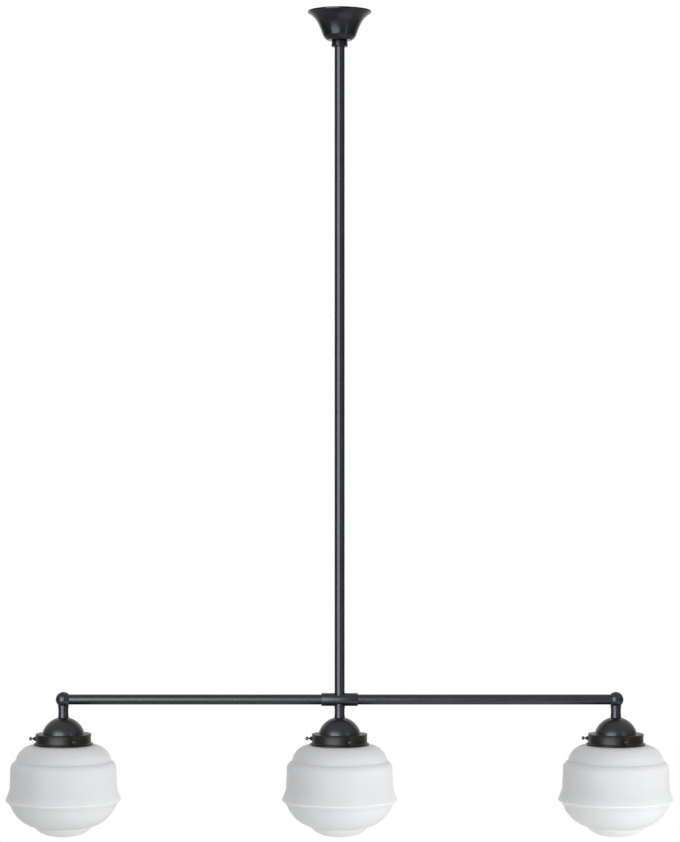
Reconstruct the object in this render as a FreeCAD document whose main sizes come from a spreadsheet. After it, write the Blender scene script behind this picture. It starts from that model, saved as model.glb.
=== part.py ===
# Linear island pendant: three opal glass shades on a bar that hangs from a ceiling canopy by one rod.
# Millimetres. The origin is on the ceiling at the middle of the canopy, X runs along the bar,
# -Y faces the viewer and +Z is up, so almost every height is negative.
import FreeCAD, Part
import math
import os
import re
import Sketcher

os.makedirs("parts", exist_ok=True)
doc = FreeCAD.newDocument("island_pendant")

# Driving dimensions, one cell each.
SIZES = (
    ("overall_drop", 1300, "ceiling to the lowest point of the glass"),
    ("lamp_pitch", 435, "middle lamp to each outer lamp"),
    ("tube_diameter", 16, "rod, arms and the seats of the stems"),
    ("tube_wall", 1.2, "rod and arms"),
    ("thread_diameter", 10, "threaded nipples"),
    ("thread_gap", 0.05, "round a nipple in its thread"),
    ("wire_bore", 7, "through the nipples"),
    ("fit_gap", 0.1, "round a tube or spigot in its socket"),
    ("bush_flange", 1, "end ring of a tube bush"),
    ("bush_length", 12, "whole length of a tube bush"),
    ("bush_grip", 8.5, "length of nipple inside a tube bush"),
    ("nut_flats", 14, "across the flats of the thin nuts"),
    ("nut_height", 3, "thin nuts"),
    ("lead_diameter", 2.4, "twin lead of one lamp"),
    ("lead_spacing", 1.25, "half the pitch of two leads side by side"),
    ("lead_bend", 3, "bend of a lead on its centre line"),
    ("lead_gap", 0.1, "between leads that cross"),
    ("lead_lift", 0.4, "lowest lead over the end of the top nipple"),
    ("strap_length", 86, "ceiling strap"),
    ("strap_width", 20, "ceiling strap"),
    ("strap_thickness", 2, "ceiling strap"),
    ("strap_step", 14, "ceiling to the seat of the strap"),
    ("strap_bend", 1, "inside radius of the bends"),
    ("seat_length", 36, "lowered seat of the strap, inside"),
    ("tab_width", 26, "side tab under the terminal block"),
    ("tab_reach", 27, "rod axis to the edge of the side tab"),
    ("ceiling_screw_pitch", 62, "between the two ceiling screws"),
    ("ceiling_screw_hole", 4.5, "hole for a ceiling screw"),
    ("upper_nut_height", 5, "nut above the seat"),
    ("nipple_stand", 1, "nipple above the upper nut"),
    ("terminal_length", 24, "terminal block along X"),
    ("terminal_depth", 14, "terminal block along Y"),
    ("terminal_height", 12.5, "terminal block"),
    ("terminal_offset", 12, "rod axis to the near face of the block"),
    ("terminal_pitch", 8, "between terminals"),
    ("terminal_row", 3.5, "long face of the block to a row of screws"),
    ("terminal_screw", 4, "diameter of a terminal screw"),
    ("terminal_screw_length", 6, "terminal screw"),
    ("earth_screw_place", 13.2, "rod axis to the earth screw"),
    ("earth_screw_thread", 4, "diameter of the earth screw"),
    ("earth_screw_head", 6.4, "diameter of its head"),
    ("earth_head_height", 2.6, "height of its head"),
    ("earth_screw_length", 9, "earth screw under its head"),
    ("canopy_radius", 50, "rim of the canopy"),
    ("canopy_height", 46, "canopy"),
    ("canopy_wall", 1, "spun sheet of the canopy"),
    ("rim_height", 2.6, "straight rim of the canopy"),
    ("rim_step", 1.9, "step inside the rim"),
    ("step_height", 1, "height of the step"),
    ("waist_radius", 33.1, "end of the hollow curve"),
    ("waist_depth", 20.8, "depth of that point"),
    ("hip_radius", 26.9, "start of the rounded corner"),
    ("hip_depth", 36.3, "depth of that point"),
    ("base_radius", 19, "flat bottom of the canopy"),
    ("hollow_curve", 39, "radius of the hollow curve"),
    ("cone_curve", 120, "radius of the long slope"),
    ("corner_curve", 15, "radius of the rounded corner"),
    ("slide_gap", 0.3, "round the rod in the canopy and collar"),
    ("collar_top", 24.5, "upper diameter of the collar"),
    ("collar_bottom", 26, "lower diameter of the collar"),
    ("collar_height", 10, "collar"),
    ("collar_round", 0.6, "edge radius of the collar"),
    ("grub_thread", 4, "diameter of the grub screw"),
    ("grub_gap", 0.1, "round the grub screw and at its tip"),
    ("grub_length", 4.2, "grub screw"),
    ("key_hole", 2, "diameter of the key hole in its end"),
    ("sleeve_diameter", 20.4, "joint sleeve"),
    ("sleeve_length", 57.4, "joint sleeve"),
    ("sleeve_edge", 0.5, "bevel at each end of the sleeve"),
    ("socket_depth", 20, "arm inside the sleeve"),
    ("channel_diameter", 8, "wire channel of the sleeve"),
    ("sleeve_seat", 6.4, "axis of the bar to the rod's seat"),
    ("sleeve_grip", 4.4, "length of nipple inside the sleeve"),
    ("ball_diameter", 24, "elbow ball"),
    ("ball_seat", 8.2, "middle of the ball to a tube's seat"),
    ("ball_grip", 3.1, "length of nipple inside the ball"),
    ("stem_diameter", 16.9, "bands at the ends of a stem"),
    ("stem_band", 0.8, "height of a band"),
    ("stem_hollow", 0.6, "depth of its waist"),
    ("crown_drop", 27.5, "axis of the bar to the crown of the dome"),
    ("dome_radius", 34.4, "sphere of the dome"),
    ("dome_height", 26.5, "dome over the gallery"),
    ("dome_wall", 1, "spun sheet of the dome"),
    ("gallery_radius", 43.4, "wall of the gallery"),
    ("gallery_height", 16.5, "gallery"),
    ("gallery_wall", 1.1, "spun sheet of the gallery"),
    ("bead_height", 1.8, "bead round the top of the gallery"),
    ("bead_reach", 0.5, "bead beyond the wall"),
    ("flange_radius", 46.5, "lower flange of the gallery"),
    ("flange_height", 1.4, "straight edge of the flange"),
    ("flare_height", 2.4, "curve from the wall to the flange"),
    ("screw_level", 8.3, "top of the gallery to the thumb screws"),
    ("boss_base", 8.5, "foot of a flared screw boss"),
    ("boss_tip", 4.8, "end of a flared screw boss"),
    ("boss_reach", 4.4, "boss beyond the wall"),
    ("screw_diameter", 2.9, "thumb screw"),
    ("screw_gap", 0.1, "round a thumb screw"),
    ("tip_gap", 0.3, "tip of a thumb screw to the glass neck"),
    ("screw_neck", 2.3, "thin neck behind the knob"),
    ("knob_diameter", 5.8, "knob of a thumb screw"),
    ("knob_length", 4, "knob of a thumb screw"),
    ("knob_reach", 54.5, "axis of the lamp to the end of the knob"),
    ("knob_round", 1, "edge radius of the knob"),
    ("screw_turn_left", 24.3, "first thumb screw from the viewer, degrees"),
    ("screw_turn_centre", 18.5, "first thumb screw from the viewer, degrees"),
    ("screw_turn_right", 12.7, "first thumb screw from the viewer, degrees"),
    ("glass_wall", 3.5, "opal glass"),
    ("lip_radius", 41, "lip inside the gallery"),
    ("lip_height", 4.6, "lip inside the gallery"),
    ("lip_round", 1, "edge radius of the lip"),
    ("neck_radius", 38.5, "neck of the glass"),
    ("neck_curve", 2.5, "curve from the neck to the shoulder"),
    ("brow_radius", 46, "flat top of the shoulder"),
    ("brow_depth", 1, "gap under the flange"),
    ("shoulder_width", 29, "across the shoulder"),
    ("shoulder_height", 24, "shoulder"),
    ("shoulder_curve", 29.6, "radius of the shoulder"),
    ("crease_width", 2.2, "across the crease over the wall"),
    ("crease_height", 2, "crease over the wall"),
    ("crease_curve", 2.4, "radius of the crease"),
    ("roll_width", 5.8, "across the roll over the wall"),
    ("roll_height", 9, "roll over the wall"),
    ("roll_curve", 12, "radius of the roll"),
    ("wall_flare", 1.4, "foot of the wall beyond its top"),
    ("wall_height", 34, "wall of the glass"),
    ("ridge_reach", 5.6, "ridge beyond the foot of the wall"),
    ("ridge_rise", 16.9, "foot of the wall to the ridge"),
    ("ridge_height", 2.6, "rounded edge of the ridge"),
    ("ridge_curve", 1.7, "radius of that edge"),
    ("ridge_wall", 4.2, "glass behind the ridge"),
    ("root_width", 8, "ridge to its root"),
    ("root_height", 11.1, "ridge to its root"),
    ("root_curve", 24, "radius under the ridge"),
    ("bowl_width", 34.5, "across the side of the bowl"),
    ("bowl_height", 30.6, "bowl"),
    ("bowl_curve", 54, "radius of the bowl"),
    ("notch_width", 2.5, "across the crease over the foot"),
    ("notch_height", 1.8, "crease over the foot"),
    ("notch_curve", 2.2, "radius of that crease"),
    ("foot_width", 21, "across the side of the foot"),
    ("foot_height", 12.1, "foot"),
    ("foot_curve", 42, "radius of the foot"),
    ("base_height", 3, "rounded base under the foot"),
    ("base_curve", 97, "radius of the base"),
    ("holder_diameter", 39, "lampholder"),
    ("holder_top", 24, "upper diameter of the lampholder"),
    ("holder_shoulder", 14, "height of its shoulder"),
    ("holder_height", 47, "lampholder"),
    ("holder_grip", 10, "thread at the top of the lampholder"),
    ("chamber_diameter", 24, "wiring chamber of the lampholder"),
    ("chamber_height", 7, "wiring chamber of the lampholder"),
    ("partition", 3, "floor of the wiring chamber"),
    ("socket_diameter", 28, "socket of the lampholder"),
    ("shell_wall", 0.5, "screw shell"),
    ("shell_length", 25, "screw shell"),
    ("shell_opening", 6, "radius of the hole in the top of the shell"),
    ("contact_diameter", 8, "centre contact"),
    ("contact_height", 2, "centre contact"),
    ("rivet_diameter", 4, "rivet of the centre contact"),
    ("rivet_head", 1.2, "height of its head in the chamber"),
    ("rivet_head_diameter", 6.4, "its head in the chamber"),
    ("contact_gap", 0.3, "bulb to the centre contact"),
    ("cap_diameter", 26.2, "screw cap of the bulb"),
    ("cap_length", 25, "screw cap of the bulb"),
    ("cap_cone", 4, "insulator at the top of the cap"),
    ("cap_contact", 9, "diameter of the bulb's contact"),
    ("bulb_radius", 30, "globe of the bulb"),
    ("bulb_length", 105, "bulb with its cap"),
    ("bulb_wall", 1, "glass of the bulb"),
    ("bulb_throat", 14.5, "radius of the globe at its neck"),
    ("bulb_flank", 27.5, "radius where the neck meets the globe"),
    ("throat_curve", 60, "radius of the hollow neck"),
)

# Places and sizes that follow from them.
PLACES = (
    ("shoulder_radius", "brow_radius + shoulder_width", "end of the shoulder"),
    ("shoulder_depth", "brow_depth + shoulder_height", ""),
    ("crease_radius", "shoulder_radius + crease_width", "end of the crease"),
    ("crease_depth", "shoulder_depth + crease_height", ""),
    ("roll_radius", "crease_radius + roll_width", "top of the wall"),
    ("roll_depth", "crease_depth + roll_height", ""),
    ("wall_radius", "roll_radius + wall_flare", "foot of the wall"),
    ("wall_depth", "roll_depth + wall_height", ""),
    ("ridge_radius", "wall_radius + ridge_reach", "widest line of the glass"),
    ("ridge_depth", "wall_depth + ridge_rise", ""),
    ("root_radius", "ridge_radius - root_width", "root of the ridge"),
    ("root_depth", "ridge_depth + root_height", ""),
    ("bowl_radius", "root_radius - bowl_width", "end of the bowl"),
    ("bowl_depth", "root_depth + bowl_height", ""),
    ("notch_radius", "bowl_radius - notch_width", "top of the foot"),
    ("notch_depth", "bowl_depth + notch_height", ""),
    ("foot_radius", "notch_radius - foot_width", "edge of the base"),
    ("foot_depth", "notch_depth + foot_height", ""),
    ("glass_height", "foot_depth + base_height", "glass below the gallery"),
    ("flange_drop", "crown_drop + dome_height + gallery_height", "axis of the bar to the flange"),
    ("axis_drop", "overall_drop - flange_drop - glass_height", "ceiling to the axis of the bar"),
    ("bar_height", "-axis_drop", "axis of the bar"),
    ("gallery_drop", "crown_drop + dome_height", "axis of the bar to the gallery"),
    ("plate_drop", "gallery_drop + gallery_wall", "axis of the bar to the underside of its plate"),
    ("tube_radius", "tube_diameter / 2", ""),
    ("tube_bore", "tube_radius - tube_wall", ""),
    ("thread_radius", "thread_diameter / 2", ""),
    ("thread_hole", "thread_radius + thread_gap", ""),
    ("tube_hole", "tube_radius + fit_gap", ""),
    ("slide_hole", "tube_radius + slide_gap", ""),
    ("wire_radius", "wire_bore / 2", ""),
    ("seat_height", "-strap_step", "top of the strap's seat"),
    ("seat_foot", "seat_height - strap_thickness", "underside of the seat"),
    ("rod_top", "seat_foot - nut_height", "upper end of the rod"),
    ("nipple_top", "seat_height + upper_nut_height + nipple_stand", "upper end of the top nipple"),
    ("rod_foot", "bar_height + sleeve_seat", "lower end of the rod"),
    ("canopy_foot", "-canopy_height", ""),
    ("grub_height", "canopy_foot - collar_height / 2", ""),
    ("sleeve_radius", "sleeve_diameter / 2", ""),
    ("sleeve_half", "sleeve_length / 2", ""),
    ("socket_floor", "sleeve_half - socket_depth", ""),
    ("arm_end", "lamp_pitch - ball_seat", "outer end of an arm with its bush"),
    ("ball_radius", "ball_diameter / 2", ""),
    ("crown_flat", "dome_radius - sqrt(dome_radius ^ 2 - tube_radius ^ 2)", "stem sunk in the dome"),
    ("stem_foot", "crown_drop + crown_flat", "axis of the bar to the foot of a stem"),
    ("stem_radius", "stem_diameter / 2", ""),
    ("sleeve_brim", "sleeve_radius + fit_gap", "axis of the bar to the upper band of the middle stem"),
    ("ball_brim", "sqrt(ball_radius ^ 2 - tube_hole ^ 2) + fit_gap", "the same under a ball"),
    ("dome_middle", "crown_drop + dome_radius", "axis of the bar to the middle of the sphere"),
    ("dome_bore", "dome_radius - dome_wall", ""),
    ("dome_foot", "sqrt(dome_radius ^ 2 - (dome_middle - gallery_drop) ^ 2)", "outer rim"),
    ("dome_foot_bore", "sqrt(dome_bore ^ 2 - (dome_middle - gallery_drop) ^ 2)", "inner rim"),
    ("crown_bore", "sqrt(dome_bore ^ 2 - (dome_middle - stem_foot - dome_wall) ^ 2)", "flat inside"),
    ("gallery_bore", "gallery_radius - gallery_wall", ""),
    ("boss_root", "(gallery_bore + gallery_radius) / 2", "foot of a boss inside the wall"),
    ("boss_end", "gallery_radius + boss_reach", "outer end of a boss"),
    ("screw_height", "bar_height - gallery_drop - screw_level", "axis of the thumb screws"),
    ("screw_radius", "screw_diameter / 2", ""),
    ("screw_tip", "neck_radius + tip_gap", ""),
    ("knob_root", "knob_reach - knob_length", ""),
    ("knob_radius", "knob_diameter / 2", ""),
    ("shank_end", "(boss_end + knob_root) / 2", "end of the full thread"),
    ("neck_bore", "neck_radius - glass_wall", ""),
    ("glass_slant", "glass_wall / sqrt(2)", "wall across and down at a slanted corner"),
    ("lip_top", "gallery_height - gallery_wall", "lip above the flange"),
    ("holder_foot", "nut_height + holder_height", "plate to the foot of the lampholder"),
    ("chamber_top", "nut_height + holder_grip", "plate to the wiring chamber"),
    ("chamber_floor", "chamber_top + chamber_height", "plate to its floor"),
    ("socket_top", "chamber_floor + partition", "plate to the top of the socket"),
    ("holder_radius", "holder_diameter / 2", ""),
    ("shell_radius", "socket_diameter / 2 - fit_gap", ""),
    ("shell_bore", "shell_radius - shell_wall", ""),
    ("cap_top", "socket_top + contact_height + contact_gap", "plate to the bulb's contact"),
    ("cap_radius", "cap_diameter / 2", ""),
    ("cap_foot", "cap_top + cap_length", "plate to the foot of the cap"),
    ("bulb_foot", "cap_top + bulb_length", "plate to the end of the bulb"),
    ("bulb_middle", "bulb_foot - bulb_radius", "plate to the middle of the globe"),
    ("flank_depth", "bulb_middle - sqrt(bulb_radius ^ 2 - bulb_flank ^ 2)", ""),
    ("lead_back", "2 * lead_spacing / sqrt(3)", "rod axis to the middle lead"),
    ("lead_front", "lead_spacing / sqrt(3)", "rod axis to the two outer leads"),
)

LAMPS = (
    ("left", "-lamp_pitch", "screw_turn_left"),
    ("centre", "0", "screw_turn_centre"),
    ("right", "lamp_pitch", "screw_turn_right"),
)
SCREWS = (1, 2, 3)

CELLS = {}


def fill(sheet, rows):
    for row, (alias, content, note) in enumerate(rows, 1):
        text = str(content) if sheet.Name == "Sizes" else "=" + formula(content)
        sheet.set(f"A{row}", note)
        sheet.set(f"B{row}", text)
        sheet.setAlias(f"B{row}", alias)
        CELLS[alias] = f"{sheet.Name}.{alias}"
    doc.recompute()


def formula(text):
    """Turn the words of a sum into the cells that hold them."""
    return re.sub(r"[a-z_]+", lambda word: CELLS.get(word.group(), word.group()), text)


def value(text):
    return float(sizes.evalExpression(formula(text)))


sizes = doc.addObject("Spreadsheet::Sheet", "Sizes")
fill(sizes, SIZES)
places = doc.addObject("Spreadsheet::Sheet", "Places")
fill(places, PLACES)

subparts = []


def keep(item, label):
    """Name an object as a sub-part of its own."""
    item.Label = label
    subparts.append(item)
    return item


def place(item, x="0", y="0", z="0", turn=None):
    if turn:
        item.Placement = FreeCAD.Placement(FreeCAD.Vector(), FreeCAD.Rotation(FreeCAD.Vector(0, 0, 1), 90))
        item.setExpression("Placement.Rotation.Angle", formula(turn))
    for axis, text in zip("xyz", (x, y, z)):
        if text != "0":
            item.setExpression(f"Placement.Base.{axis}", formula(text))
    return item


# ---- Ways of making a piece ----

def origin_item(body, role):
    return next(item for item in body.Origin.OriginFeatures if item.Role == role)


def add_arc(sketch, start, end, radius, side):
    """Add the arc from start to end that lies left or right of the straight line between them.
    Returns its number with the sketch's own numbers for its start and its end."""
    chord = end - start
    left = FreeCAD.Vector(-chord.y, chord.x, 0).normalize()
    inward = -left if side == "left" else left
    middle = (start + end) / 2 + inward * math.sqrt(radius ** 2 - (chord.Length / 2) ** 2)
    first, last = (end, start) if side == "left" else (start, end)
    angles = [math.atan2(point.y - middle.y, point.x - middle.x) for point in (first, last)]
    if angles[1] < angles[0]:
        angles[1] += 2 * math.pi
    circle = Part.Circle(middle, FreeCAD.Vector(0, 0, 1), radius)
    number = sketch.addGeometry(Part.ArcOfCircle(circle, *angles))
    return (number, 2, 1) if side == "left" else (number, 1, 2)


def bind(sketch, kind, items, text):
    """Add a constraint whose size follows a sum of the sheet's words."""
    number = sketch.addConstraint(Sketcher.Constraint(kind, *items, value(text)))
    sketch.setExpression(f"Constraints[{number}]", formula(text))


def outline(body, name, corners, plane="XZ_Plane"):
    """A closed sketch with every corner bound. A corner is (x, y), or (x, y, radius, side) where
    an arc leads to it from the corner before."""
    sketch = body.newObject("Sketcher::SketchObject", name)
    sketch.AttachmentSupport = (origin_item(body, plane), [""])
    sketch.MapMode = "FlatFace"
    points = [FreeCAD.Vector(value(corner[0]), value(corner[1]), 0) for corner in corners]
    edges = []
    for number, corner in enumerate(corners):
        start, end = points[number - 1], points[number]
        if len(corner) == 2:
            edges.append((sketch.addGeometry(Part.LineSegment(start, end)), 1, 2))
        else:
            edges.append(add_arc(sketch, start, end, value(corner[2]), corner[3]))
            bind(sketch, "Radius", edges[-1][:1], corner[2])
    for number, (edge, _, last) in enumerate(edges):
        follower, first, _ = edges[(number + 1) % len(edges)]
        sketch.addConstraint(Sketcher.Constraint("Coincident", edge, last, follower, first))
        across, along = corners[number][:2]
        for kind, text, axis in (("DistanceX", across, -2), ("DistanceY", along, -1)):
            if text == "0":
                sketch.addConstraint(Sketcher.Constraint("PointOnObject", edge, last, axis))
            else:
                bind(sketch, kind, (-1, 1, edge, last), text)
    return sketch


def turn(body, name, corners, kind="PartDesign::Revolution", axis="Z"):
    """Turn an outline of (radius, place along the axis) corners round the body's Z or X axis."""
    if axis == "X":
        mirrored = {"left": "right", "right": "left"}
        corners = [(corner[1], corner[0], *(mirrored.get(item, item) for item in corner[2:]))
                   for corner in corners]
    sketch = outline(body, name + "_outline", corners)
    doc.recompute()
    feature = body.newObject(kind, name)
    feature.Profile = sketch
    feature.ReferenceAxis = (sketch, ["V_Axis" if axis == "Z" else "H_Axis"])
    feature.Angle = 360
    return feature


def turned(name, corners, axis="Z"):
    body = doc.addObject("PartDesign::Body", name)
    turn(body, name + "_turned", corners, axis=axis)
    return body


def tube(name, bore, radius, start, end, axis="Z"):
    return turned(name, ((bore, start), (radius, start), (radius, end), (bore, end)), axis)


def cut_into(body, feature):
    """Recompute after a cut and make sure that it took something away."""
    before = body.Shape.Volume
    doc.recompute()
    if body.Shape.Volume >= before:
        raise RuntimeError(f"{feature.Name} cuts nothing out of {body.Label}")


TURNS = {
    "X": FreeCAD.Rotation(FreeCAD.Vector(0, 1, 0), 90),
    "Y": FreeCAD.Rotation(FreeCAD.Vector(1, 0, 0), -90),
    "Z": FreeCAD.Rotation(),
}


def round_bar(name, radius, start, end, x="0", y="0", z="0", axis="Z", kind="Part::Cylinder", body=None):
    """A plain cylinder from start to end along an axis."""
    bar = body.newObject(kind, name) if body else doc.addObject(kind, name)
    bar.setExpression("Radius", formula(radius))
    bar.setExpression("Height", formula(f"({end}) - ({start})"))
    bar.Placement = FreeCAD.Placement(FreeCAD.Vector(), TURNS[axis])
    spot = {"X": (start, y, z), "Y": (x, start, z), "Z": (x, y, start)}[axis]
    return place(bar, *spot)


def drill(body, name, radius, start, end, x="0", y="0", z="0", axis="Z"):
    doc.recompute()
    hole = round_bar(name, radius, start, end, x, y, z, axis, "PartDesign::SubtractiveCylinder", body)
    cut_into(body, hole)
    return hole


def cut(name, base, tool):
    result = doc.addObject("Part::Cut", name)
    result.Base = base
    result.Tool = tool
    return result


def join(name, shapes):
    result = doc.addObject("Part::MultiFuse", name)
    result.Shapes = shapes
    return result


def group(name, items):
    result = doc.addObject("Part::Compound", name)
    result.Links = items
    return result


def hexagon_nut(name, height, x="0", z="0"):
    blank = doc.addObject("Part::Prism", name + "_blank")
    blank.Polygon = 6
    blank.setExpression("Circumradius", formula("nut_flats / sqrt(3)"))
    blank.setExpression("Height", formula(height))
    place(blank, x, "0", z)
    thread = round_bar(name + "_thread", "thread_hole", z, f"{z} + {height}", x)
    return cut(name, blank, thread)


def tube_bush(name, end, inward, axis):
    """A shouldered bush in the end of a tube: end ring, spigot and thread. inward is + or -."""
    ring, foot = f"{end} {inward} bush_flange", f"{end} {inward} bush_length"
    corners = [("thread_hole", end), ("tube_radius", end), ("tube_radius", ring),
               ("tube_bore - fit_gap", ring), ("tube_bore - fit_gap", foot), ("thread_hole", foot)]
    return turned(name, corners, axis)


# ---- What holds the lamp to the ceiling ----

strap_corners = (
    ("strap_length / 2", "0"),
    ("seat_length / 2 + strap_thickness + strap_bend", "0"),
    ("seat_length / 2", "-strap_thickness - strap_bend", "strap_thickness + strap_bend", "left"),
    ("seat_length / 2", "seat_height + strap_bend"),
    ("seat_length / 2 - strap_bend", "seat_height", "strap_bend", "right"),
    ("-seat_length / 2 + strap_bend", "seat_height"),
    ("-seat_length / 2", "seat_height + strap_bend", "strap_bend", "right"),
    ("-seat_length / 2", "-strap_thickness - strap_bend"),
    ("-seat_length / 2 - strap_thickness - strap_bend", "0", "strap_thickness + strap_bend", "left"),
    ("-strap_length / 2", "0"),
    ("-strap_length / 2", "-strap_thickness"),
    ("-seat_length / 2 - strap_thickness - strap_bend", "-strap_thickness"),
    ("-seat_length / 2 - strap_thickness", "-strap_thickness - strap_bend", "strap_bend", "right"),
    ("-seat_length / 2 - strap_thickness", "seat_foot + strap_thickness + strap_bend"),
    ("-seat_length / 2 + strap_bend", "seat_foot", "strap_thickness + strap_bend", "left"),
    ("seat_length / 2 - strap_bend", "seat_foot"),
    ("seat_length / 2 + strap_thickness", "seat_foot + strap_thickness + strap_bend",
     "strap_thickness + strap_bend", "left"),
    ("seat_length / 2 + strap_thickness", "-strap_thickness - strap_bend"),
    ("seat_length / 2 + strap_thickness + strap_bend", "-strap_thickness", "strap_bend", "right"),
    ("strap_length / 2", "-strap_thickness"),
)
bracket = doc.addObject("PartDesign::Body", "ceiling_bracket")
strap = outline(bracket, "strap_outline", strap_corners)
strap_pad = bracket.newObject("PartDesign::Pad", "strap")
strap_pad.Profile = strap
strap_pad.SideType = "Symmetric"
strap_pad.setExpression("Length", formula("strap_width"))
tab_corners = (
    ("-tab_width / 2", "0"),
    ("tab_width / 2", "0"),
    ("tab_width / 2", "tab_reach"),
    ("-tab_width / 2", "tab_reach"),
)
tab = outline(bracket, "tab_outline", tab_corners, "XY_Plane")
tab.setExpression("AttachmentOffset.Base.z", formula("seat_foot"))
tab_pad = bracket.newObject("PartDesign::Pad", "tab")
tab_pad.Profile = tab
tab_pad.setExpression("Length", formula("strap_thickness"))
drill(bracket, "nipple_hole", "thread_hole", "seat_foot", "seat_height")
drill(bracket, "earth_hole", "earth_screw_thread / 2 + fit_gap", "seat_foot", "seat_height",
      x="-earth_screw_place")
for side, sign in (("left", "-"), ("right", "")):
    drill(bracket, f"ceiling_screw_hole_{side}", "ceiling_screw_hole / 2", "-strap_thickness", "0",
          x=f"{sign}ceiling_screw_pitch / 2")
keep(bracket, "ceiling_bracket")

upper_nut = hexagon_nut("upper_nut", "upper_nut_height", z="seat_height")
lower_nut = hexagon_nut("lower_nut", "nut_height", z="rod_top")
keep(group("bracket_nuts", [upper_nut, lower_nut]), "bracket_nuts")
keep(tube("top_nipple", "wire_radius", "thread_radius", "rod_top - bush_grip", "nipple_top"), "top_nipple")

earth_screw = turned("earth_screw", (
    ("0", "earth_head_height"),
    ("earth_screw_head / 2", "earth_head_height"),
    ("earth_screw_head / 2", "0"),
    ("earth_screw_thread / 2", "0"),
    ("earth_screw_thread / 2", "-earth_screw_length"),
    ("0", "-earth_screw_length")))
keep(place(earth_screw, x="-earth_screw_place", z="seat_height"), "earth_screw")

block = doc.addObject("Part::Box", "block")
for side, text in (("Length", "terminal_length"), ("Width", "terminal_depth"), ("Height", "terminal_height")):
    block.setExpression(side, formula(text))
place(block, "-terminal_length / 2", "terminal_offset", "seat_height")
holes, screws = [], []
for pole in (-1, 0, 1):
    for row, inset in (("near", "terminal_row"), ("far", "terminal_depth - terminal_row")):
        spot = f"{pole} * terminal_pitch", f"terminal_offset + {inset}"
        top = "seat_height + terminal_height"
        ends = f"{top} - terminal_screw_length", top
        tag = f"{row}_{pole + 2}"
        holes.append(round_bar("terminal_hole_" + tag, "terminal_screw / 2 + fit_gap", *ends, *spot))
        screws.append(round_bar("terminal_screw_" + tag, "terminal_screw / 2", *ends, *spot))
keep(cut("terminal_block", block, join("terminal_holes", holes)), "terminal_block")
keep(group("terminal_screws", screws), "terminal_screws")

# ---- Canopy, collar and rod ----

shell = "canopy_wall"
keep(turned("canopy", (
    ("canopy_radius", "0"),
    ("canopy_radius", "-rim_height"),
    ("canopy_radius - rim_step", "-rim_height - step_height"),
    ("waist_radius", "-waist_depth", "hollow_curve", "right"),
    ("hip_radius", "-hip_depth", "cone_curve", "right"),
    ("base_radius", "canopy_foot", "corner_curve", "left"),
    ("slide_hole", "canopy_foot"),
    ("slide_hole", f"canopy_foot + {shell}"),
    (f"base_radius - {shell} / 2", f"canopy_foot + {shell}"),
    (f"hip_radius - {shell}", "-hip_depth", f"corner_curve - {shell}", "right"),
    (f"waist_radius - {shell}", "-waist_depth", f"cone_curve + {shell}", "left"),
    (f"canopy_radius - rim_step - {shell}", "-rim_height - step_height", f"hollow_curve + {shell}", "left"),
    (f"canopy_radius - {shell}", "-rim_height"),
    (f"canopy_radius - {shell}", "0"))), "canopy")

collar = turned("canopy_collar", (
    ("slide_hole", "canopy_foot"),
    ("collar_top / 2 - collar_round", "canopy_foot"),
    ("collar_top / 2", "canopy_foot - collar_round", "collar_round", "right"),
    ("collar_bottom / 2", "canopy_foot - collar_height + collar_round"),
    ("collar_bottom / 2 - collar_round", "canopy_foot - collar_height", "collar_round", "right"),
    ("slide_hole", "canopy_foot - collar_height")))
drill(collar, "grub_hole", "grub_thread / 2 + grub_gap", "0", "collar_bottom", z="grub_height", axis="Y")
keep(collar, "canopy_collar")

grub = round_bar("grub", "grub_thread / 2", "tube_radius + grub_gap", "tube_radius + grub_gap + grub_length",
                 z="grub_height", axis="Y")
key_hole = round_bar("grub_key_hole", "key_hole / 2", "tube_radius + grub_gap + grub_length / 2",
                     "tube_radius + grub_gap + grub_length", z="grub_height", axis="Y")
keep(cut("collar_screw", grub, key_hole), "collar_screw")

rod = tube("down_rod", "tube_bore", "tube_radius", "rod_foot + bush_flange", "rod_top - bush_flange")
keep(rod, "down_rod")
keep(group("rod_end_bushes", [tube_bush("top_bush", "rod_top", "-", "Z"),
                              tube_bush("foot_bush", "rod_foot", "+", "Z")]), "rod_end_bushes")
keep(tube("sleeve_nipple", "wire_radius", "thread_radius", "rod_foot - sleeve_grip", "rod_foot + bush_grip"),
     "sleeve_nipple")

# ---- Bar: sleeve, arms and elbow balls ----

sleeve = turned("cross_sleeve", (
    ("channel_diameter / 2", "-socket_floor"),
    ("tube_hole", "-socket_floor"),
    ("tube_hole", "-sleeve_half"),
    ("sleeve_radius - sleeve_edge", "-sleeve_half"),
    ("sleeve_radius", "-sleeve_half + sleeve_edge"),
    ("sleeve_radius", "sleeve_half - sleeve_edge"),
    ("sleeve_radius - sleeve_edge", "sleeve_half"),
    ("tube_hole", "sleeve_half"),
    ("tube_hole", "socket_floor"),
    ("channel_diameter / 2", "socket_floor")), "X")
drill(sleeve, "wire_hole", "wire_radius", "-sleeve_seat", "sleeve_seat")
for side, reach in (("upper", "sleeve_radius"), ("lower", "-sleeve_radius")):
    seat, floor = ("sleeve_seat", "sleeve_seat - sleeve_grip")
    ends = (seat, reach) if side == "upper" else (reach, f"-{seat}")
    drill(sleeve, f"{side}_seat", "tube_hole", *ends)
    ends = (floor, seat) if side == "upper" else (f"-{seat}", f"-({floor})")
    drill(sleeve, f"{side}_thread", "thread_hole", *ends)
keep(place(sleeve, z="bar_height"), "cross_sleeve")

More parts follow.
